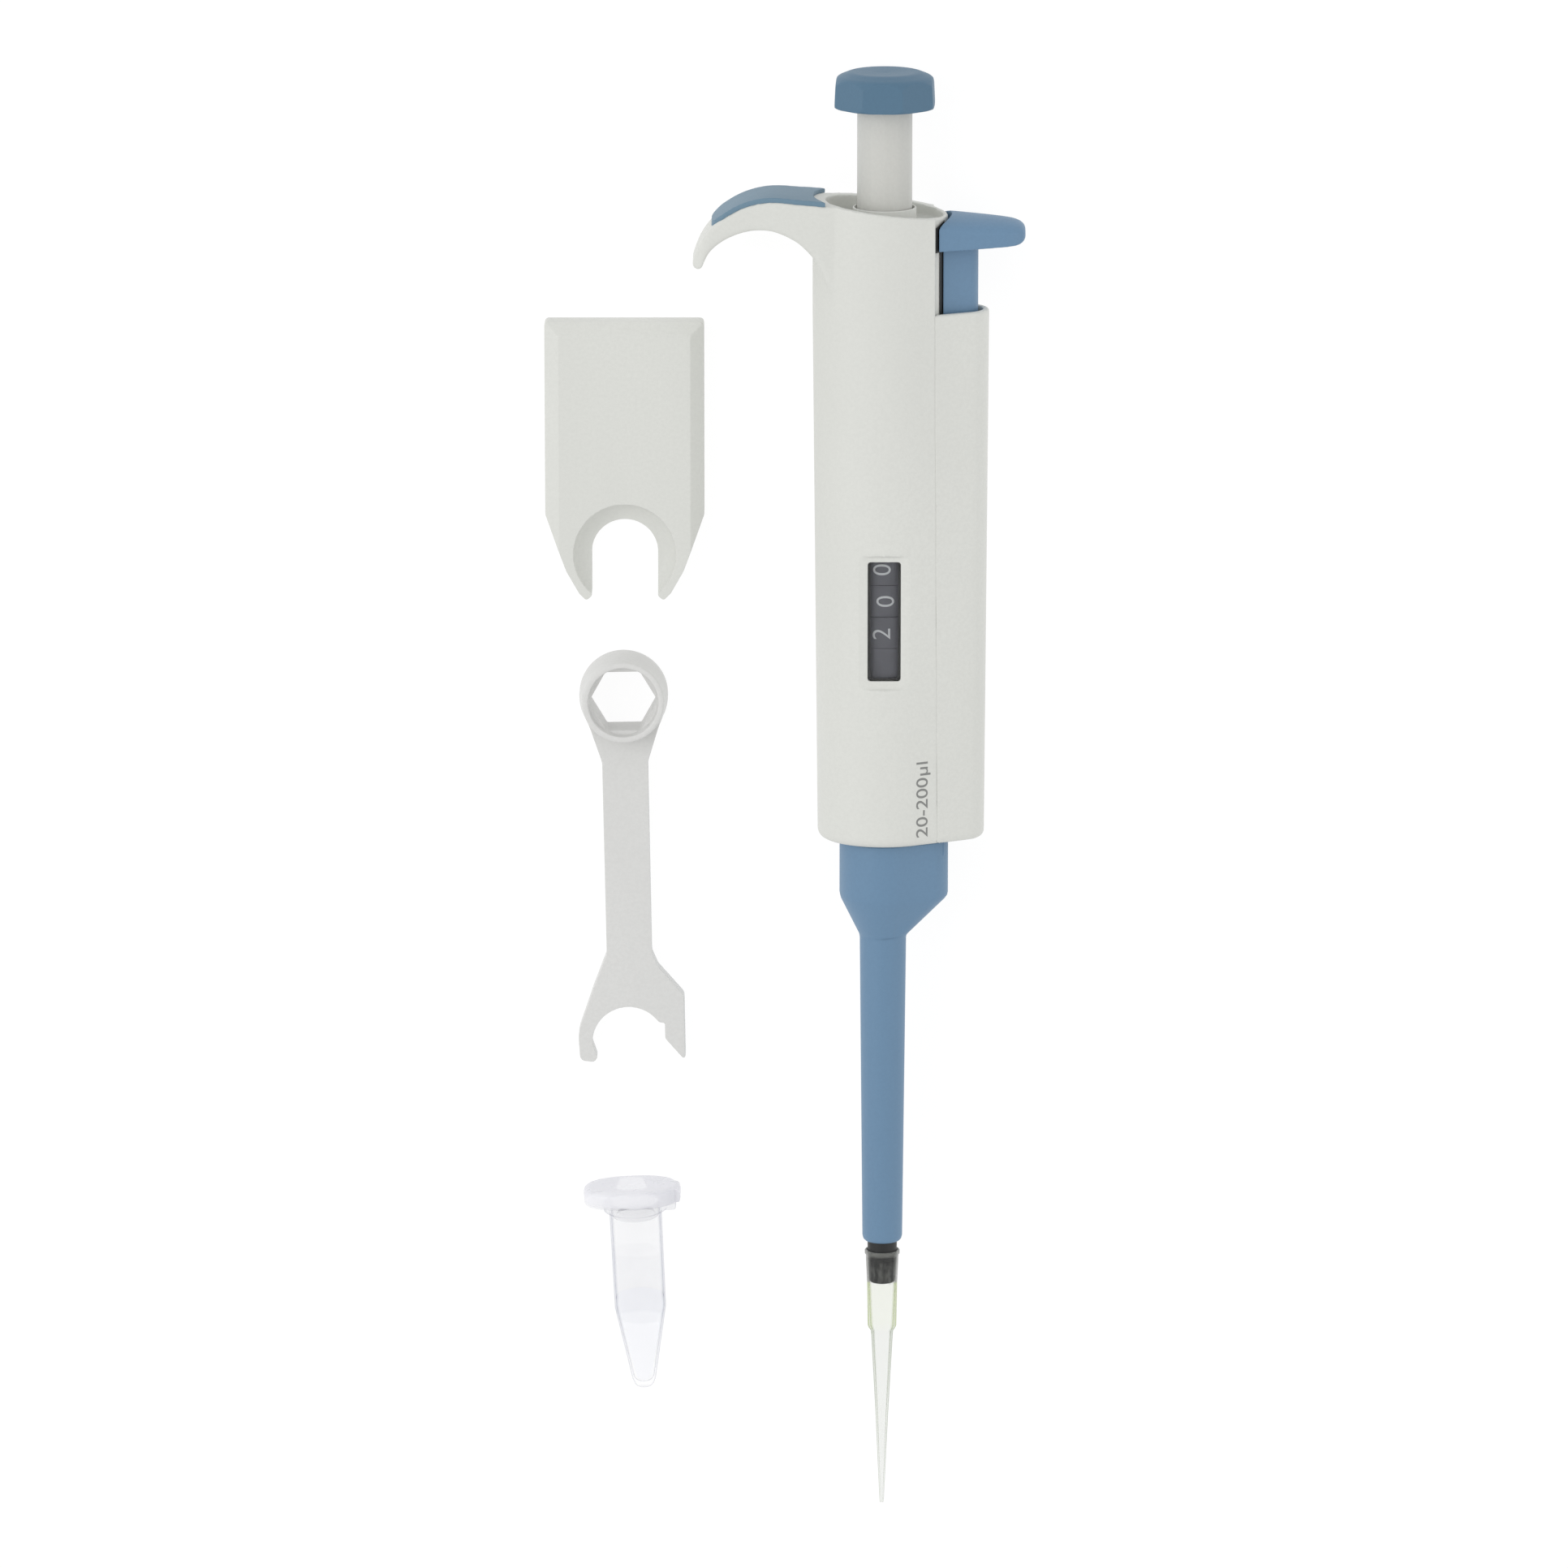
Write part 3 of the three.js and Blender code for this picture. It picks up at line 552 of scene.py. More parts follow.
def share_up(y):
    """How far up the handle a place is, 0 at its lower edge and 1 at the cover's top."""
    return min(max((y - HANDLE_BOTTOM) / (COVER_TOP - HANDLE_BOTTOM), 0), 1)


def seam_at(y):
    return HANDLE["seam"][0] + (HANDLE["seam"][1] - HANDLE["seam"][0]) * share_up(y)


def beside_seam(offset, far):
    """All that lies to one side of the joint with the ejector cover."""
    line = [(seam_at(y) + offset, y) for y in (140, COVER_TOP, HANDLE_BOTTOM, -31)]
    return plate("tool", line + [(far, -31), (far, 140)], -30, 30)


def handle_section(y, inset=0.0):
    share = share_up(y)
    left = HANDLE["left"][0] + (HANDLE["left"][1] - HANDLE["left"][0]) * share - inset
    right = HANDLE["right"][0] + (HANDLE["right"][1] - HANDLE["right"][0]) * share - inset
    front = HANDLE["front"] - inset
    turn = HANDLE["shoulder"]
    slope = math.hypot(front * math.cos(turn), left * math.sin(turn))
    nose = front * (left - right * math.cos(turn)) / (slope - front * math.cos(turn))
    nose_turn = math.atan2(left * math.sin(turn), front * math.cos(turn))
    ring = arc(0, left, front, turn, TAU - turn, 96, y)
    ring += arc(right - nose, nose, nose, -nose_turn, nose_turn, 40, y)
    for p in ring:
        if p.z < 0:
            p.z = max(p.z * HANDLE["back_fullness"], inset - LYING)
    return ring


def rounded_bottom(radius, steps=6):
    """Rings of the handle's section round its lower edge."""
    rings = []
    for i in range(steps + 1):
        turn = math.pi / 2 * i / steps
        y = HANDLE_BOTTOM + radius * (1 - math.cos(turn))
        rings.append(handle_section(y, radius * (1 - math.sin(turn))))
    return rings


def rim_height(x):
    return CUP["rim_middle"] + CUP["rim_slope"] * x


def curve_through(points, steps=8):
    """A smooth curve through points, as many short steps between each two."""
    ends = [2 * Vector(points[0]) - Vector(points[1]), 2 * Vector(points[-1]) - Vector(points[-2])]
    knots = [ends[0]] + [Vector(p) for p in points] + [ends[1]]
    curve = []
    for a, b, c, d in zip(knots, knots[1:], knots[2:], knots[3:]):
        for i in range(steps):
            t = i / steps
            curve.append(tuple(
                0.5 * ((2 * b) + (c - a) * t + (2 * a - 5 * b + 4 * c - d) * t * t
                       + (3 * b - a - 3 * c + d) * t ** 3)
            ))
    return curve + [tuple(knots[-2])]


def circle_points(cx, cy, radius, start, end, steps):
    turns = [start + (end - start) * i / steps for i in range(steps + 1)]
    return [(cx + radius * math.cos(a), cy + radius * math.sin(a)) for a in turns]


def hook_outline():
    x, y, radius = HOOK["tip"]
    outline = [(-7, rim_height(-7))] + curve_through(HOOK["top"], 6)
    outline += circle_points(x, y, radius, math.pi * 0.85, math.pi * 2, 10)
    return outline + curve_through(HOOK["underside"], 6) + [(-7, 101)]


def hook_plan(wider=0.0):
    """The hook narrows to a round tip, seen along the handle."""
    side = curve_through([(x, half + wider) for x, half in HOOK["width"]], 6)
    return bar("plan", side + [(x, -half) for x, half in reversed(side)], 95, 125)


def above_rim():
    outline = [(-60, rim_height(-60)), (60, rim_height(60)), (60, 160), (-60, 160)]
    return plate("tool", outline, -30, 30)


def oval(rx, rz, y0, y1, sides=120):
    turns = [TAU * i / sides for i in range(sides)]
    return bar("tool", [(rx * math.cos(a), rz * math.sin(a)) for a in turns], y0, y1)


def half_width(x):
    """The hook's half width at a place along it."""
    stations = HOOK["width"]
    for (x0, w0), (x1, w1) in zip(stations, stations[1:]):
        if x0 >= x >= x1:
            return w0 + (w1 - w0) * (x - x0) / (x1 - x0)
    return stations[0][1] if x > stations[0][0] else stations[-1][1]


# The handle's openings: radii of round ones, the ends in X, Y and Z of the one for the sleeve's arm.
OPENINGS = {
    "stem": 7.6,
    "foot": 7.2,
    "sleeve_arm": (9.2, 14, -20, 8, -3.6, 3.6),
    "pinions": 1.6,
    "pinions_x": -10.55,
}


def handle():
    body = rings_object("handle", rounded_bottom(1.8) + [handle_section(y) for y in (45, COVER_TOP, 121)])
    hook = common(plate("hook", hook_outline(), -12, 12), hook_plan())
    mould(hook, 0.3, 7, keep=1)
    channel = cut(beside_seam(0, 40), disc(CUP["outer"], -40, 150))
    cut(body, channel)
    add(body, hook)
    pocket_floor = HANDLE["front"] - WINDOW["pocket"]
    pocket_half = WINDOW["half"] + 2.3
    half = WINDOW["half"]
    cut(
        body,
        above_rim(),
        oval(*CUP["inner"], CUP["floor"], 130),
        disc(OPENINGS["stem"], 100, 120),
        disc(HANDLE["bore"], -6, 110),
        disc(OPENINGS["foot"], -20, 0),
        block(*OPENINGS["sleeve_arm"]),
        disc(OPENINGS["pinions"], 27, 50, x=OPENINGS["pinions_x"], sides=24),
        block(-pocket_half, pocket_half, WINDOW["low"] - 1.7, WINDOW["high"] + 1.2, pocket_floor, 20),
        block(-half, half, WINDOW["low"], WINDOW["high"], 5, 20),
    )
    mould(body, 0.3, 3, keep=1)
    root = [Vector((-12.2, 105, side * 7.5)) for side in (-1, 1)]
    smooth_near(body, root, 6.5, 45)
    edge = [
        Vector((x, y, side * half_width(x)))
        for x, y in curve_through(HOOK["underside"][1:-2], 3) for side in (-1, 1)
    ]
    smooth_near(body, edge, 2.4, 16)
    thin(body, 0.6)
    return show(body, "handle", SHELL, "pipette_body", "shell", "handle_body")


def cover():
    wall = 1.2
    top = [
        handle_section(COVER_TOP - 0.5), handle_section(COVER_TOP - 0.15, 0.12),
        handle_section(COVER_TOP, 0.4),
    ]
    shell = rings_object("cover", rounded_bottom(1.5) + [handle_section(45)] + top)
    inside = rings_object("tool", [handle_section(y, wall) for y in (-20, 110)])
    ledge = rings_object("ledge", [handle_section(y, 0.4) for y in (47.5, 49.5)])
    cut(ledge, block(-30, 15, 0, 90, -30, 30))
    cut(shell, inside, disc(CUP["outer"] + 0.25, -33, 123), beside_seam(-0.2, -30))
    add(shell, ledge)
    mould(shell, 0.25, 2, keep=0.6)
    return show(shell, "channel_cover", SHELL, "pipette_body", "shell", "ejector_cover")


def pad():
    line = [(-8, rim_height(-8))] + curve_through([(-8, rim_height(-8))] + HOOK["top"][:9], 6)[1:]
    under = [(x, y - 0.2) for x, y in line]
    over = [(x - 0.1, y + PAD["thickness"]) for x, y in line]
    shape = plate("pad", under + list(reversed(over)), -12, 12)
    common(shape, hook_plan(0.05))
    left, half = PAD["left"], PAD["half"]
    plan = softened([(left, -half, 4), (0, -12), (0, 12), (left, half, 4)], 10)
    common(shape, bar("plan", plan, 95, 130))
    cut(shape, disc(PAD["arc_radius"], 90, 140, x=PAD["arc_x"], sides=160))
    mould(shape, 0.18, 4, keep=0.6)
    return show(shape, "finger_pad", PAD_BLUE, "pipette_body", "blue", "hook_pad")


def pane():
    half = WINDOW["half"] - 0.05
    surface = HANDLE["front"] - WINDOW["pocket"] - 0.2
    outline = softened([
        (-half, WINDOW["low"] + 0.05, 0.4), (half, WINDOW["low"] + 0.05, 0.4),
        (half, WINDOW["high"] - 0.05, 0.4), (-half, WINDOW["high"] - 0.05, 0.4),
    ])
    shape = plate("pane", outline, surface - 0.8, surface)
    return show(shape, "window_pane", PANE, "pipette_body", "clear", "counter_window")


# The slot's painted shade: dark strips on part of a tube, standing for the deep shadow beside the ejector.
# Radii, places along Y, and outlines or spans in X.
SLOT_SHADE = {
    "inner": 12.3,
    "outer": 13.15,
    "low": 109.95,
    "beside_button": [(9.95, 109), (11.8, 109), (11.8, 116.0), (9.95, 114.7)],
    "shank_outer": 12.82,
    "shank_low": COVER_TOP - 1.5,
    "shank_high": 110,
    "beside_shank": (10.95, 12.3),
}


def slot_lining():
    """Dark strips on the handle's wall beside the ejector: painted shade for the deep shadow in the slot it
    slides in.
    """
    shape = disc(SLOT_SHADE["outer"], SLOT_SHADE["low"], 120)
    common(shape, plate("tool", SLOT_SHADE["beside_button"], -30, 30))
    beside_shank = disc(SLOT_SHADE["shank_outer"], SLOT_SHADE["shank_low"], SLOT_SHADE["shank_high"])
    common(beside_shank, block(*SLOT_SHADE["beside_shank"], 60, 130, -30, 30))
    add(shape, beside_shank)
    cut(shape, disc(SLOT_SHADE["inner"], 60, 130))
    return show(shape, "slot_lining", BLACK, "pipette_body", "black")


def window_mask():
    """A dark frame behind the pane, round the counter wheels: painted shade for the shadowed edges of the
    wheels in the window.
    """
    half = WINDOW["half"] + 0.3
    top = HANDLE["front"] - WINDOW["pocket"] - 1.1
    shape = block(-half, half, WINDOW["low"] - 0.3, WINDOW["high"] + 0.3, top - 0.5, top)
    left, right, bottom, upper = -2.72, 2.78, WINDOW["low"] + 0.4, WINDOW["high"] - 0.15
    corners = [(left, bottom), (right, bottom), (right, upper), (left, upper)]
    opening = softened([(x, y, 0.3) for x, y in corners])
    cut(shape, plate("tool", opening, 5, 20))
    return show(shape, "window_mask", BLACK, "pipette_body", "black")


def ring_nut():
    outer, collar = size("calibration_nut").x / 2, 6.35
    bore, top = 5.95, NUT_TOP + 0.55
    profile = softened([
        (bore, NUT_LOW, 0.2), (outer, NUT_LOW, 0.2), (outer, CUP["floor"] - 0.3, 0.2),
        (collar, CUP["floor"] - 0.3, 0.1), (collar, top, 0.2), (bore, top, 0.15),
    ])
    return show(turned("nut", profile), "ring_nut", SHELL, "pipette_body", "stem", "calibration_nut")


# ---- Push button, stem and counter ----


def knob():
    """Eight flats cut into a domed round button, with a shallow dish on top."""
    turn = math.radians(19)
    radius = size("push_button").x / 2 / math.cos(turn)
    prism = []
    for y, r in ((KNOB_LOW - 1, radius + 0.5), (KNOB_TOP + 1, radius + 0.05)):
        angles = [turn + TAU * i / 8 for i in range(8)]
        prism.append([Vector((r * math.sin(a), y, r * math.cos(a))) for a in angles])
    shape = rings_object("knob", prism)
    crown = softened([
        (0, KNOB_LOW), (radius + 0.3, KNOB_LOW, 0.8), (radius + 0.45, KNOB_LOW + 3.0, 3.0),
        (radius + 0.15, KNOB_TOP - 2.3, 1.0), (radius - 0.8, KNOB_TOP - 0.9, 2.0),
        (radius * 0.68, KNOB_TOP + 0.1, 3.0), (0, KNOB_TOP - 0.3),
    ], 10)
    common(shape, turned("crown", crown))
    cut(shape, disc(3.35, KNOB_LOW - 8, KNOB_LOW + 3.6))
    mould(shape, 0.15, 4, keep=0.6)
    return show(shape, "volume_knob", KNOB_BLUE, "knob", "knob_blue", "push_button")


def stem():
    """A tube with twelve faint flats."""
    flats, sides = 12, 144
    inner = 3.35
    outer = STEM_RADIUS - 0.22

    def ring(radius, y, flat=0.0):
        points = []
        for i in range(sides):
            a = TAU * i / sides
            off = (a % (TAU / flats)) - math.pi / flats
            r = radius * (1 - flat * (1 - math.cos(math.pi / flats) / math.cos(off)))
            points.append(Vector((r * math.sin(a), y, r * math.cos(a))))
        return points

    edge = 0.3
    rings = [
        ring(inner, STEM_LOW), ring(outer - edge, STEM_LOW), ring(outer, STEM_LOW + edge, 0.25),
        ring(outer, STEM_HIGH - edge, 0.25), ring(outer - edge, STEM_HIGH), ring(inner, STEM_HIGH),
    ]
    shape = rings_object("stem", rings, loop=True)
    return show(shape, "button_stem", STEM_GREY, "knob", "stem", "plunger_stem")


# The wheels are drawn a little wider than their CAD, which leaves the photo's fine gaps.
WHEEL_WIDER, WHEEL_BORE = 0.19, 6.2


def wheel(name, node, body):
    centre = along(middle(node).y)
    half = WHEEL_WIDTH / 2 + WHEEL_WIDER
    profile = softened([
        (WHEEL_BORE, centre - half, 0.2), (WHEEL_RADIUS, centre - half, 0.12),
        (WHEEL_RADIUS, centre + half, 0.12), (WHEEL_BORE, centre + half, 0.2),
    ])
    return show(turned(name, profile, 120), name, WHEEL, body, "wheel", node)


# How far printed figures rise above the surface, the digits' height and depth, and the capitals'
# share of the font's size.
PRINT_LIFT, DIGIT_HEIGHT, DIGIT_DEPTH, CAPITALS = 0.03, 3.8, 0.06, 0.73


def text_mesh(name, text, height, bolder):
    """Flat lettering centred on the origin, its capitals height millimetres tall."""
    curve = bpy.data.curves.new(name, "FONT")
    curve.body = text
    curve.align_x = "CENTER"
    curve.size = height / CAPITALS
    curve.offset = bolder
    curve.resolution_u = 6
    text_object = new_object(name, curve)
    graph = bpy.context.evaluated_depsgraph_get()
    mesh = bpy.data.meshes.new_from_object(text_object.evaluated_get(graph))
    bpy.data.objects.remove(text_object)
    build = bmesh.new()
    build.from_mesh(mesh)
    for vertex in build.verts:
        vertex.co = Vector((vertex.co.x, vertex.co.y - height / 2, 0))
    bmesh.ops.triangulate(build, faces=build.faces)
    bmesh.ops.subdivide_edges(build, edges=build.edges, cuts=1)
    build.to_mesh(mesh)
    build.free()
    return mesh


def thicken(mesh, depth):
    """Turns flat lettering into thin solid lettering that reaches down along -Z."""
    build = bmesh.new()
    build.from_mesh(mesh)
    bmesh.ops.remove_doubles(build, verts=build.verts, dist=1e-4)
    top = build.faces[:]
    made = bmesh.ops.extrude_face_region(build, geom=top, use_keep_orig=True)
    for item in made["geom"]:
        if isinstance(item, bmesh.types.BMVert):
            item.co.z -= depth
    bmesh.ops.recalc_face_normals(build, faces=build.faces)
    build.to_mesh(mesh)
    build.free()


def digits(name, node, body, shown, aside, up=0.0):
    """The ten digits round a counter wheel, the shown one facing the window, a little aside."""
    centre = along(middle(node).y) + up
    radius = WHEEL_RADIUS + PRINT_LIFT
    whole = bmesh.new()
    for digit in range(10):
        mesh = text_mesh("digit", str(digit), DIGIT_HEIGHT, bolder=-0.03)
        thicken(mesh, DIGIT_DEPTH)
        turn = TAU / 10 * (digit - shown) + aside / radius
        for vertex in mesh.vertices:
            x, y, z = vertex.co
            angle = turn - y / radius
            reach = radius + z
            vertex.co = Vector((reach * math.sin(angle), centre + x, reach * math.cos(angle)))
        whole.from_mesh(mesh)
        bpy.data.meshes.remove(mesh)
    mesh = bpy.data.meshes.new(name)
    whole.to_mesh(mesh)
    whole.free()
    return show(new_object(name, mesh), name, DIGIT, body, "wheel")


# The mark reads along the handle: X and Y of its middle, its length, its letters' height and depth.
MARK_X, MARK_MIDDLE, MARK_LENGTH, MARK_HEIGHT, MARK_DEPTH = 7.6, -0.8, 15.5, 2.4, 0.05


def volume_mark(shell):
    """The generic volume range along the handle, laid on its surface."""
    tree = BVHTree.FromPolygons(
        [v.co.copy() for v in shell.data.vertices], [tuple(p.vertices) for p in shell.data.polygons]
    )
    mesh = text_mesh("mark", "20-200µl", MARK_HEIGHT, bolder=0.01)
    length = max(v.co.x for v in mesh.vertices) - min(v.co.x for v in mesh.vertices)
    thicken(mesh, MARK_DEPTH)
    for vertex in mesh.vertices:
        x, y, z = vertex.co
        place_x, place_y = MARK_X - y, MARK_MIDDLE + x * MARK_LENGTH / length
        above = (Vector((place_x, place_y, 40)) + AXIS) * MM
        hit = tree.ray_cast(above, Vector((0, 0, -1)))[0]
        vertex.co = Vector((place_x, place_y, hit.z / MM - AXIS.z + PRINT_LIFT + z))
    return show(new_object("mark", mesh), "volume_mark", MARK, "pipette_body", "shell")


# ---- Ejector, nozzle and tip ----


def ejector_key():
    """The ejector's arched thumb button with its shank."""
    rings = []
    for x, half, under, side, crown in curve_through(BUTTON["sections"], 5):
        turns = [math.pi * i / 24 for i in range(25)]
        arch = [Vector((x, side + (crown - side) * math.sin(a), half * math.cos(a))) for a in turns]
        rings.append(arch + [Vector((x, under, -half)), Vector((x, under, half))])
    shape = rings_object("key", rings)
    cut(shape, disc(BUTTON["hollow"], 60, 130), block(0, BUTTON["inner"], 60, 130, -30, 30))
    shank = rings_object("shank", [handle_section(y, SHANK_INSET) for y in (SHANK_BOTTOM, 98, 112)])
    cut(
        shank,
        disc(CUP["outer"] + 0.3, 60, 130),
        block(-30, BUTTON["shank_inner"], 60, 130, -30, 30),
        block(12, 15, SHANK_BOTTOM - 1, 96.3, -3.3, 3.3),
    )
    add(shape, shank)
    mould(shape, 0.18, 5, keep=0.5)
    return show(shape, "ejector_key", BLUE, "ejector", "blue", "ejector_button")


def capsule(radius, x, nose, y, steps=(60, 36)):
    turn = math.acos(max(min((radius - nose) / max(x, 0.01), 1), -1))
    back = arc(0, radius, radius, turn, TAU - turn, steps[0], y)
    return back + arc(x, nose, nose, -turn, turn, steps[1], y)


def ejector_tube():
    """Collar, slanted shoulder and long tube of the ejector, one hollow moulding."""
    collar, nose, reach = 8.8, 5.4, 13.1 - 5.4
    neck, end = 4.7, 4.05
    top, shoulder, throat = -10.9, -22.7, -31.0

    def blend(share, y, r0, x0, n0, r1, x1, n1):
        return capsule(r0 + (r1 - r0) * share, x0 + (x1 - x0) * share, n0 + (n1 - n0) * share, y)

    rings = [
        capsule(end - 1.0, 0, end - 1.0, SLEEVE_END),
        capsule(end - 0.55, 0, end - 0.55, SLEEVE_END + 0.12),
        capsule(end - 0.18, 0, end - 0.18, SLEEVE_END + 0.5),
        capsule(end, 0, end, SLEEVE_END + 1.2),
        capsule(neck - 0.02, 0, neck - 0.02, throat - 0.7),
        capsule(neck + 0.04, 0, neck + 0.04, throat - 0.15),
    ]
    for share in (0.04, 0.5, 0.93):
        y = throat + (shoulder - throat) * share
        rings.append(blend(share, y, neck, 0, neck, collar, reach, nose))
    rings += [
        capsule(collar - 0.12, reach, nose - 0.12, shoulder + 0.05),
        capsule(collar, reach, nose, shoulder + 0.7),
        capsule(collar, reach, nose, top - 0.3),
        capsule(collar - 0.3, reach, nose - 0.3, top),
        capsule(7.5, 0, 7.5, top),
        capsule(7.5, 0, 7.5, shoulder + 0.6),
        capsule(3.9, 0, 3.9, throat),
        capsule(3.3, 0, 3.3, SLEEVE_END + 0.3),
    ]
    shape = rings_object("tube", rings, loop=True)
    arm = block(10, 12.2, top - 3, SLEEVE_ARM_TOP, -3.2, 3.2)
    add(shape, arm)
    return show(shape, "ejector_tube", BLUE, "ejector", "blue", "ejector_sleeve", angle=35)


CONE_FACE = CONE_END + 0.65


def nozzle():
    profile = softened([
        (2.35, CONE_TOP), (5, CONE_TOP, 0.2), (5, -18, 0.2), (3.45, -18), (3.4, -30), (3.0, -96, 0.3),
        (2.92, -98.0), (2.99, -98.3, 0.1), (2.95, -99.1, 0.1), (2.86, -99.4), (2.6, CONE_FACE, 0.35),
        (0.7, CONE_FACE), (0.7, -60), (2.35, -60),
    ], 4)
    return show(turned("nozzle", profile), "nozzle", BLACK, "pipette_body", "black", "tip_cone")


TIP_STEP = -113.7
TIP_PLASTIC = thin_clear(
    "tip_plastic", (0.38, 0.46, 0.17, 1.0), 0.3, 0.045, 0.68, rise=(0.38, 0.85),
    belts=(
        (AXIS.y + TIP_END - 1, AXIS.y + TIP_STEP, 0.018), (AXIS.y + TIP_STEP, AXIS.y + CONE_FACE, 0.02),
        (AXIS.y + TIP_RIM - 0.9, AXIS.y + TIP_RIM + 1, 0.4),
    ),
    ragged=(AXIS.y + CONE_FACE, AXIS.y + TIP_RIM - 2.2, 0.2),
    upper=(AXIS.y + CONE_FACE, (0.22, 0.225, 0.21, 1.0)),
    lower=(AXIS.y + TIP_STEP, (0.34, 0.39, 0.28, 1.0)),
)


def disposable_tip():
    """A thin-walled tip: rim bead, ribbed socket, step and long fine cone."""
    step = TIP_STEP
    outer = [
        (TIP_RIM_RADIUS, TIP_RIM - 0.15), (TIP_RIM_RADIUS, TIP_RIM - 0.75), (3.3, TIP_RIM - 1.05),
        (3.24, TIP_RIM - 2), (3.02, -104), (2.86, step + 0.5), (2.74, step + 0.1), (2.3, step - 0.5),
        (2.2, step - 1.4), (1.28, -132), (0.42, TIP_END + 0.1), (0.36, TIP_END),
    ]
    inner = [
        (0.22, TIP_END), (0.95, -132), (1.85, step - 1.2), (1.95, step - 0.6), (2.4, step + 0.4),
        (2.74, -104.6), (3.08, TIP_RIM - 0.8), (3.2, TIP_RIM), (TIP_RIM_RADIUS - 0.12, TIP_RIM),
    ]
    sides, ribs = 120, 12
    rings = []
    for radius, y in outer + inner:
        ring = []
        for i in range(sides):
            a = TAU * i / sides
            ribbed = step + 0.3 < y < TIP_RIM - 1.5 and (radius, y) in outer
            r = radius + (0.05 * max(0, math.cos(ribs * a)) if ribbed else 0)
            ring.append(Vector((r * math.sin(a), y, r * math.cos(a))))
        rings.append(ring)
    shape = rings_object("tip", rings, loop=True)
    return show(shape, "disposable_tip", TIP_PLASTIC, "tip", "tip", "pipette_tip", angle=50)


# ---- Holder ----

HOLDER_HALF = size("holder_plate").x / 2
HOLDER_LENGTH = size("holder_plate").y
HOLDER_THICK = size("holder_plate").z
HOLDER_ROW = Matrix.Translation((middle("holder_plate").x, low("holder_plate").y, 0))


def holder():
    half, length, thick = HOLDER_HALF, HOLDER_LENGTH, HOLDER_THICK
    slot, seat_y, seat, seat_depth = 6.65, 9.3, 10.3, 3.6
    side = [
        (slot, 0.9, 0.3), (slot + 1.1, -0.1, 0.5), (slot + 2.6, 1.4, 1.5), (slot + 5.15, 5.9, 4),
        (half, 17.2, 2), (half, length, 0.9),
    ]
    left = softened([(-x, y, r) for x, y, r in reversed(side)] + [(-slot, 5, 0), (slot, 5, 0)] + side, 6)
    right_start = max(i for i, p in enumerate(left) if abs(p[1] - 5) < 1e-6)
    crown = circle_points(0, seat_y, slot, math.pi, 0, 48)
    outline = left[:right_start] + crown + left[right_start + 1:]
    shape = plate("holder", outline, 0, thick)
    bevel, drop = 2.75, 2.1
    rings = []
    for inset, z in ((0, -1), (0, thick - drop), (bevel, thick)):
        side_x, end_y = half - inset, length - inset
        corners = [(-side_x, -30), (side_x, -30), (side_x, end_y), (-side_x, end_y)]
        rings.append([Vector((x, y, z)) for x, y in corners])
    common(shape, rings_object("envelope", rings))
    bowl = [(0, thick - seat_depth), (slot - 0.4, thick - seat_depth)]
    bowl += [(slot - 0.4 + (seat - slot + 0.4) * math.sin(a), thick - seat_depth * math.cos(a))
             for a in [math.pi / 2 * i / 10 for i in range(1, 11)]]
    bowl += [(seat, thick + 3), (0, thick + 3)]
    seat_cut = turned("bowl", bowl)
    seat_cut.data.transform(Matrix.Translation((0, seat_y, 0)) @ Matrix.Rotation(math.pi / 2, 4, "X"))
    pocket = block(-half + 3.2, half - 3.2, 21.7, length - 3.2, -1, 0.9)
    cut(shape, seat_cut, pocket)
    mould(shape, 0.2, 2, keep=0.5)
    return show(shape, "wall_holder", SHELL, "holder", "shell", "holder_plate", to_row=HOLDER_ROW)


# ---- Opening tool ----

TOOL_LEAN = math.radians(1.05)
TOOL_RING = 8.95
TOOL_TAPER = 0.7
TOOL_HEIGHT = size("opening_tool").z
TOOL_THICK = 4.0
HEXAGON_ACROSS = 12.0
TOOL_BORE, TOOL_BORE_DEPTH = (6.85, 7.25), 1.8
TOOL_ROW = (
    Matrix.Translation((-32.4, high("opening_tool").y - TOOL_RING, 0)) @ Matrix.Rotation(TOOL_LEAN, 4, "Z")
)


def tool_outline():
    jaw_y, jaw = -72.1, 7.4
    left = [
        (-5.5, -3.0), (-7.8, -4.4, 0), (-6.9, -6.6, 4), (-4.65, -13.6, 4), (-4.6, -53.5, 4), (-7.3, -60.3, 8),
        (-10.75, -69.9, 8), (-10.5, -75.8, 1.3), (-7.6, -76.1, 0.8), (-6.9, -75.1, 0.8), (-7.9, jaw_y),
    ]
    arch = circle_points(-0.5, jaw_y, jaw, math.pi * 0.97, math.pi * 0.19, 40)
    right = [
        (6.2, jaw_y + 4.0), (6.9, jaw_y + 3.9, 0.2), (6.9, jaw_y + 0.7, 0.8), (10.5, -75.7, 0.2),
        (11.0, -75.3, 0.2), (11.0, -62.5, 1.6), (5.8, -56.3, 1.5), (4.6, -53.4, 2.5), (4.65, -13.6, 4),
        (6.9, -6.6, 4), (7.8, -4.4, 0), (5.5, -3.0),
    ]
    return softened_open(left) + arch + softened_open(right)


def softened_open(corners):
    """Rounds the corners of an open run of an outline."""
    return softened([corners[0][:2]] + corners[1:-1] + [corners[-1][:2]], 6)


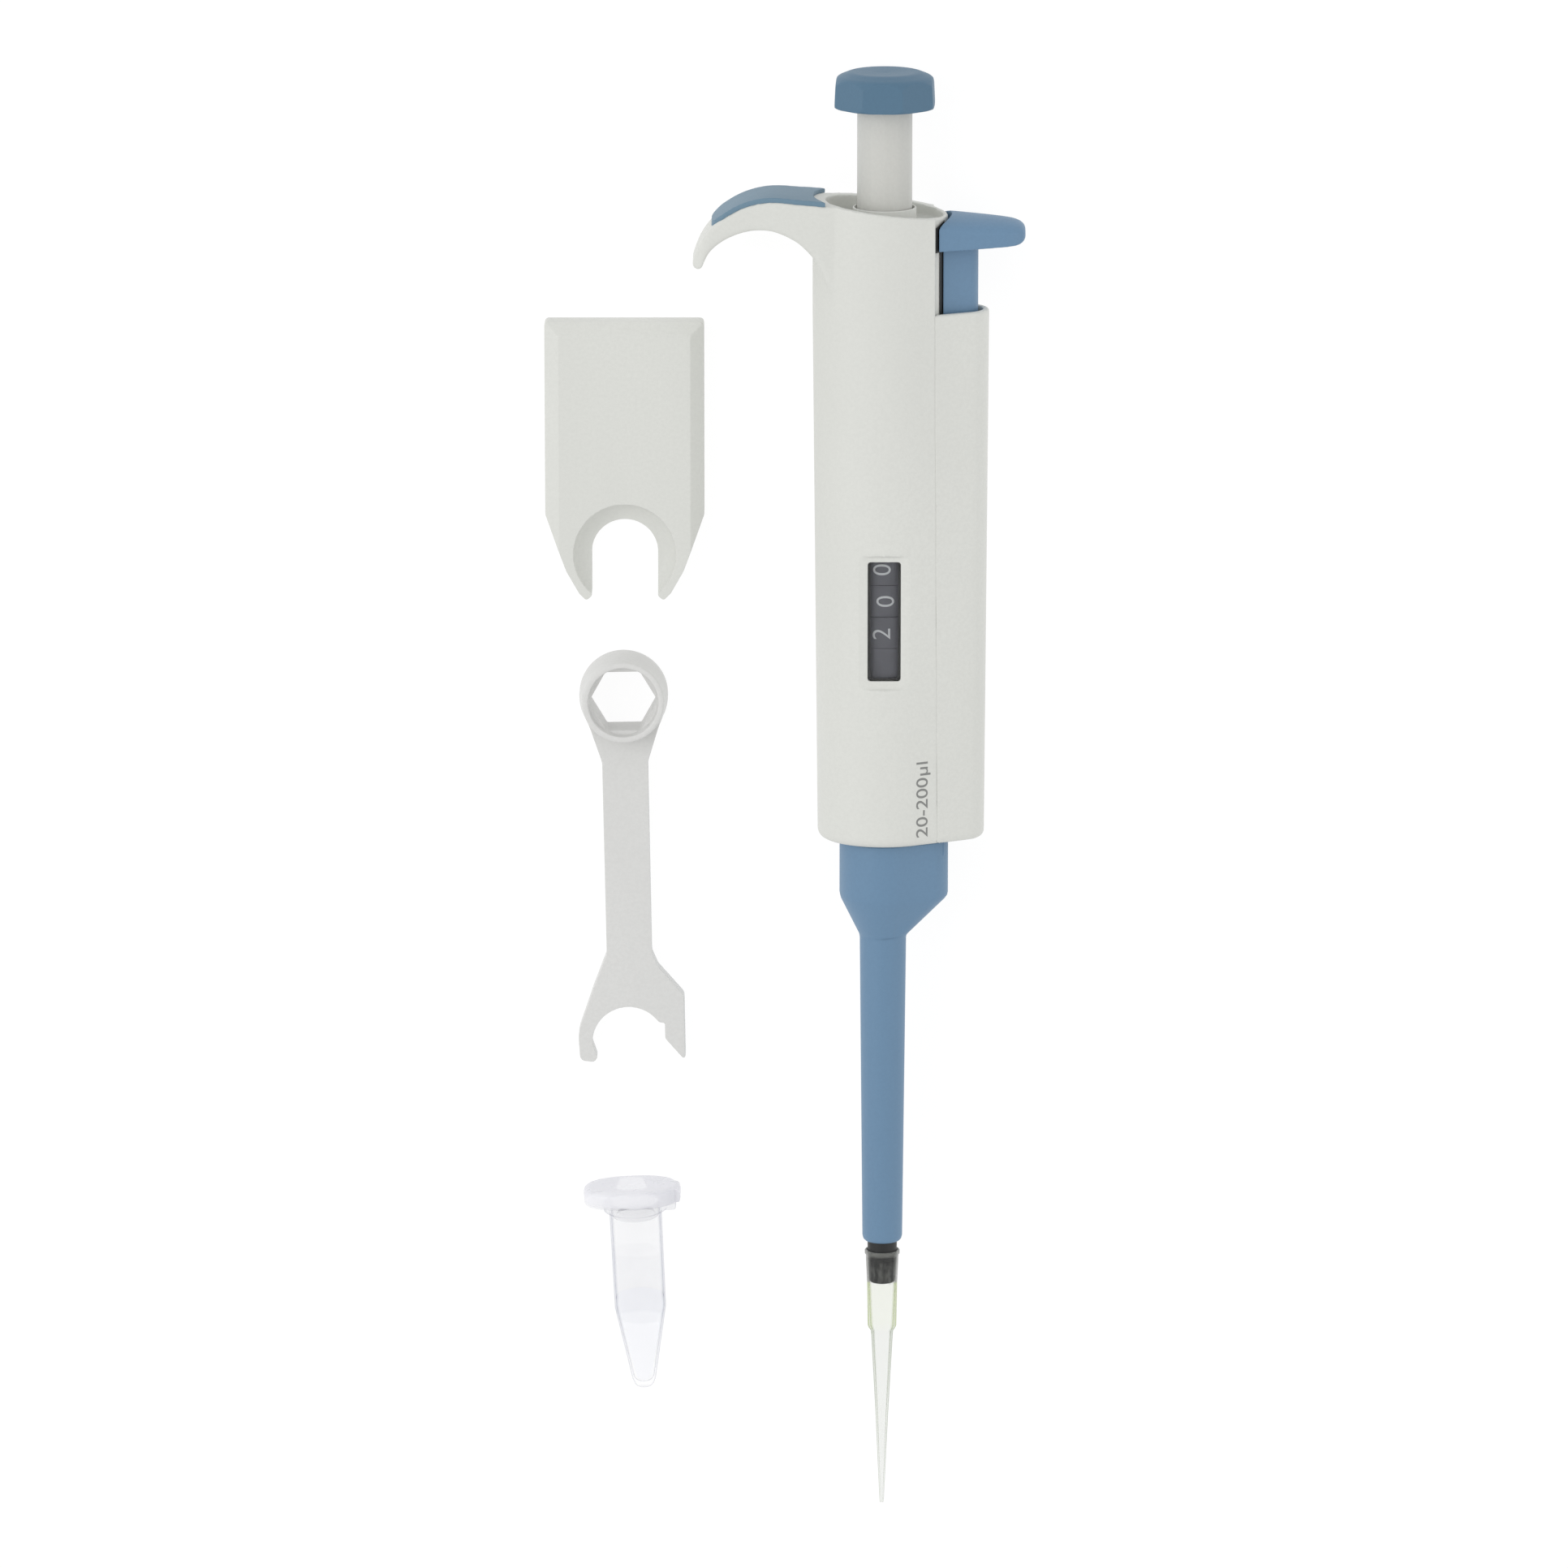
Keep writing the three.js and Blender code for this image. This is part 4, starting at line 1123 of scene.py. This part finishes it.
def opening_tool():
    thick, tall = TOOL_THICK, TOOL_HEIGHT
    outer = softened([
        (0, 0), (TOOL_RING, 0, 0.5), (TOOL_RING, thick - 0.5, 1.5),
        (TOOL_RING - TOOL_TAPER, tall, 0.5), (0, tall),
    ], 8)
    upright = Matrix.Rotation(math.pi / 2, 4, "X")
    ring = turned("ring", outer)
    ring.data.transform(upright)
    shape = plate("tool", tool_outline(), 0, thick)
    add(shape, ring)
    hexagon = circle_points(0, 0, HEXAGON_ACROSS / math.sqrt(3), 0, TAU * 5 / 6, 5)
    lower, upper = TOOL_BORE
    floor = tall - TOOL_BORE_DEPTH
    bore = turned("bore", [(0, floor), (lower, floor), (upper, tall + 1), (0, tall + 1)])
    bore.data.transform(upright)
    cut(shape, plate("hexagon", hexagon, -5, 20), bore)
    mould(shape, 0.19, 2, keep=0.5)
    return show(shape, "tool", TOOL_SHELL, "tool", "tool", "opening_tool", to_row=TOOL_ROW)


# ---- Grease tube ----

LID_HINGE = next(joint for joint in frame["joints"] if joint["name"] == "lid_hinge")
TUBE_LEAN, TUBE_PITCH = math.radians(2.6), math.radians(3.1)
TUBE_TURN = Matrix.Rotation(TUBE_LEAN, 4, "Z") @ Matrix.Rotation(TUBE_PITCH, 4, "X")
HINGE_ARM = Vector((8.3, 0.3, 0))
TUBE_ROW = Matrix.Translation(Vector(LID_HINGE["pos_m"]) / MM - TUBE_TURN @ HINGE_ARM) @ TUBE_TURN
TUBE_RADIUS, TUBE_WALL, TUBE_DEPTH = 5.35, 0.3, 40.0
SHOULDER = -22.7
FROST = (-25.1, -10.6)


def tube_place(y):
    return (TUBE_ROW @ Vector((0, y, 0))).y


TUBE_PLASTIC = thin_clear(
    "tube_plastic", (0.36, 0.38, 0.48, 1.0), 0.2, 0.02, 0.4,
    belts=((tube_place(FROST[0]), tube_place(FROST[1]), 0.03), (tube_place(FROST[1]), tube_place(9), 0.012)),
)
LID_PLASTIC = thin_clear(
    "lid_plastic", (0.80, 0.80, 0.84, 1.0), 0.3, 0.02, 0.1,
    belts=((tube_place(-3.4), tube_place(0.1), 0.14), (tube_place(0.1), tube_place(19), 0.72)), uneven=0.02,
)
GREASE = clear_gel("silicone_grease", (0.975, 0.98, 1.0, 1.0), 0.02)


def tube():
    r, w = TUBE_RADIUS, TUBE_WALL
    end = -TUBE_DEPTH
    profile = softened([
        (r - w, 0, 0.15), (r - w - 0.1, SHOULDER, 4), (2.0, end + 1.7, 1.4), (0, end + 0.9),
        (0, end), (1.7, end + 0.1, 1.2), (2.4, end + 1.8, 2), (r - 0.1, SHOULDER, 5), (r, -1.9, 0.2),
        (r + 1.1, -1.6, 0.2), (r + 1.1, 0, 0.25),
    ], 6)
    shape = turned("tube", profile, 96)
    strap = plate("strap", softened([
        (r + 0.6, -1.4), (r + 2.9, -1.4, 0.5), (r + 3.1, -0.15, 0.3), (r + 0.6, -0.15),
    ]), -2.6, 2.6)
    add(shape, strap)
    return show(shape, "snap_tube", TUBE_PLASTIC, "tube", "tube", "tube_body", to_row=TUBE_ROW, angle=45)


def lid():
    """An oval plate with a lip on the left and the hinge on the right, and the plug under it."""
    left, right, half = -10.35, 8.9, 6.8
    middle_x, reach = (left + right) / 2, (right - left) / 2
    turns = [TAU * i / 96 for i in range(96)]
    rings = []
    for inset, y in (
        (0.5, 0.12), (0.15, 0.25), (0, 0.6), (0, 2.7), (0.15, 3.1), (0.45, 3.35), (0.9, 3.45), (1.8, 3.43),
        (2.6, 3.3),
    ):
        ring = []
        for a in turns:
            across = math.copysign(abs(math.cos(a)) ** 0.84, math.cos(a))
            deep = math.copysign(abs(math.sin(a)) ** 0.84, math.sin(a))
            ring.append(Vector((middle_x + (reach - inset) * across, y, (half - inset) * deep)))
        rings.append(ring)
    shape = rings_object("lid", rings)
    plug = TUBE_RADIUS - TUBE_WALL - 0.12
    profile = softened([
        (0, -2.1), (plug - 1.2, -2.1, 0.4), (plug - 0.9, -3.1, 0.3), (plug - 0.3, -3.1, 0.2),
        (plug, -2.3, 0.3), (plug - 0.1, 0.12), (plug - 0.1, 1.2), (0, 1.2),
    ], 6)
    strap = plate("strap", softened([
        (TUBE_RADIUS, 0.4), (9.1, 0.3, 0.4), (9.4, 1.5, 0.5), (9.1, 3.0, 0.9), (TUBE_RADIUS, 3.1),
    ], 5), -2.9, 2.9)
    add(shape, turned("plug", profile, 96), strap)
    return show(shape, "snap_lid", LID_PLASTIC, "lid", "tube", "tube_lid", to_row=TUBE_ROW, angle=45)


def grease():
    inner = TUBE_RADIUS - TUBE_WALL - 0.16
    end = -TUBE_DEPTH
    profile = softened([
        (0, end + 1.15), (1.4, end + 1.9, 1.0), (inner - 0.05, SHOULDER, 3), (inner, -20.2, 0.5), (0, -19.8),
    ], 6)
    shape = turned("grease", profile, 64)
    return show(shape, "grease_charge", GREASE, "tube", "grease", "grease_fill", to_row=TUBE_ROW)


# ---- Pieces that keep their CAD shape ----

KEPT = (
    (BLACK, ("mechanism_frame", "tens_pinion", "hundreds_pinion", "cylinder_nut")),
    (STEEL, ("pinion_shaft", "drive_shaft", "piston", "blowout_ring", "ejector_rod")),
    (STEEL, ("primary_spring", "blowout_spring", "ejector_spring")),
    (BRASS, ("piston_cap", "volume_screw", "volume_stop_nut", "seal_retainer")),
    (SEAL, ("piston_seal",)),
    (RUBBER, ("seal_ring",)),
    (TAPE, ("holder_tape",)),
    (LINER, ("tape_liner",)),
)


def dress_kept_nodes():
    for material, nodes in KEPT:
        for node in nodes:
            for slot in frame["nodes"][node].material_slots:
                slot.material = material


# ---- Stage ----


def stage():
    floor_mesh = plate("floor", [(-3, -3), (3, -3), (3, 3), (-3, 3)], -0.01, 0.0)
    grey = (0.13, 0.13, 0.13, 1.0)
    glow = (1.0, 1.0, 1.0, 1.0)
    floor = Material(
        "floor_white", grey, 0.9, Specular_IOR_Level=0.1, Emission_Color=glow, Emission_Strength=0.9
    )
    floor.tint(floor.noise(3.0), (0.12, 0.12, 0.12, 1.0), 0.3)
    floor_mesh.name = "floor"
    floor_mesh.data.materials.append(floor.material)
    world = bpy.data.worlds.new("studio")
    SCENE.world = world
    world.use_nodes = True
    background = world.node_tree.nodes["Background"]
    background.inputs["Color"].default_value = (1.0, 1.0, 1.0, 1.0)
    background.inputs["Strength"].default_value = 0.82
    area_light("key", (-1.3, 0.4, 1.3), 1.4, 10.0)
    area_light("fill", (1.4, 0.1, 1.0), 1.4, 3.5)


def area_light(name, position, width, power):
    light = bpy.data.lights.new(name, "AREA")
    light.shape = "DISK"
    light.size = width
    light.energy = power
    lamp = bpy.data.objects.new(name, light)
    lamp.location = position
    aim = Vector((0, 0, 0)) - Vector(position)
    lamp.rotation_euler = aim.to_track_quat("-Z", "Y").to_euler()
    SCENE.collection.objects.link(lamp)


def camera():
    """Two metres above the set, tipped towards the push button end."""
    tilt = math.radians(13)
    distance = 2.0
    target = Vector((0, 0.0030, LYING * MM))
    data = bpy.data.cameras.new("camera")
    data.sensor_width = 36
    data.lens = 227.9
    data.clip_start = 0.1
    data.clip_end = 20
    eye = bpy.data.objects.new("camera", data)
    eye.location = target + distance * Vector((0, math.sin(tilt), math.cos(tilt)))
    up = Vector((0, math.cos(tilt), -math.sin(tilt)))
    back = (eye.location - target).normalized()
    right = up.cross(back)
    eye.matrix_world = Matrix.Translation(eye.location) @ Matrix((right, up, back)).transposed().to_4x4()
    SCENE.collection.objects.link(eye)
    SCENE.camera = eye


# ---- Assembly ----

SCENE.view_settings.view_transform = "Standard"
camera()
stage()

shell = handle()
cover()
pad()
pane()
window_mask()
slot_lining()
ring_nut()
volume_mark(shell)

knob()
stem()
wheel("blank_wheel", "counter_blank_ring", "pipette_body")
wheel("hundreds_dial", "hundreds_wheel", "hundreds_counter")
wheel("tens_dial", "tens_wheel", "tens_counter")
wheel("units_dial", "units_wheel", "counter_drive")
digits("hundreds_digits", "hundreds_wheel", "hundreds_counter", 2, -0.65, -0.2)
digits("tens_digits", "tens_wheel", "tens_counter", 0, 0.1)
digits("units_digits", "units_wheel", "counter_drive", 0, -0.6)

ejector_key()
ejector_tube()
nozzle()
disposable_tip()

holder()
opening_tool()
tube()
lid()
grease()

dress_kept_nodes()
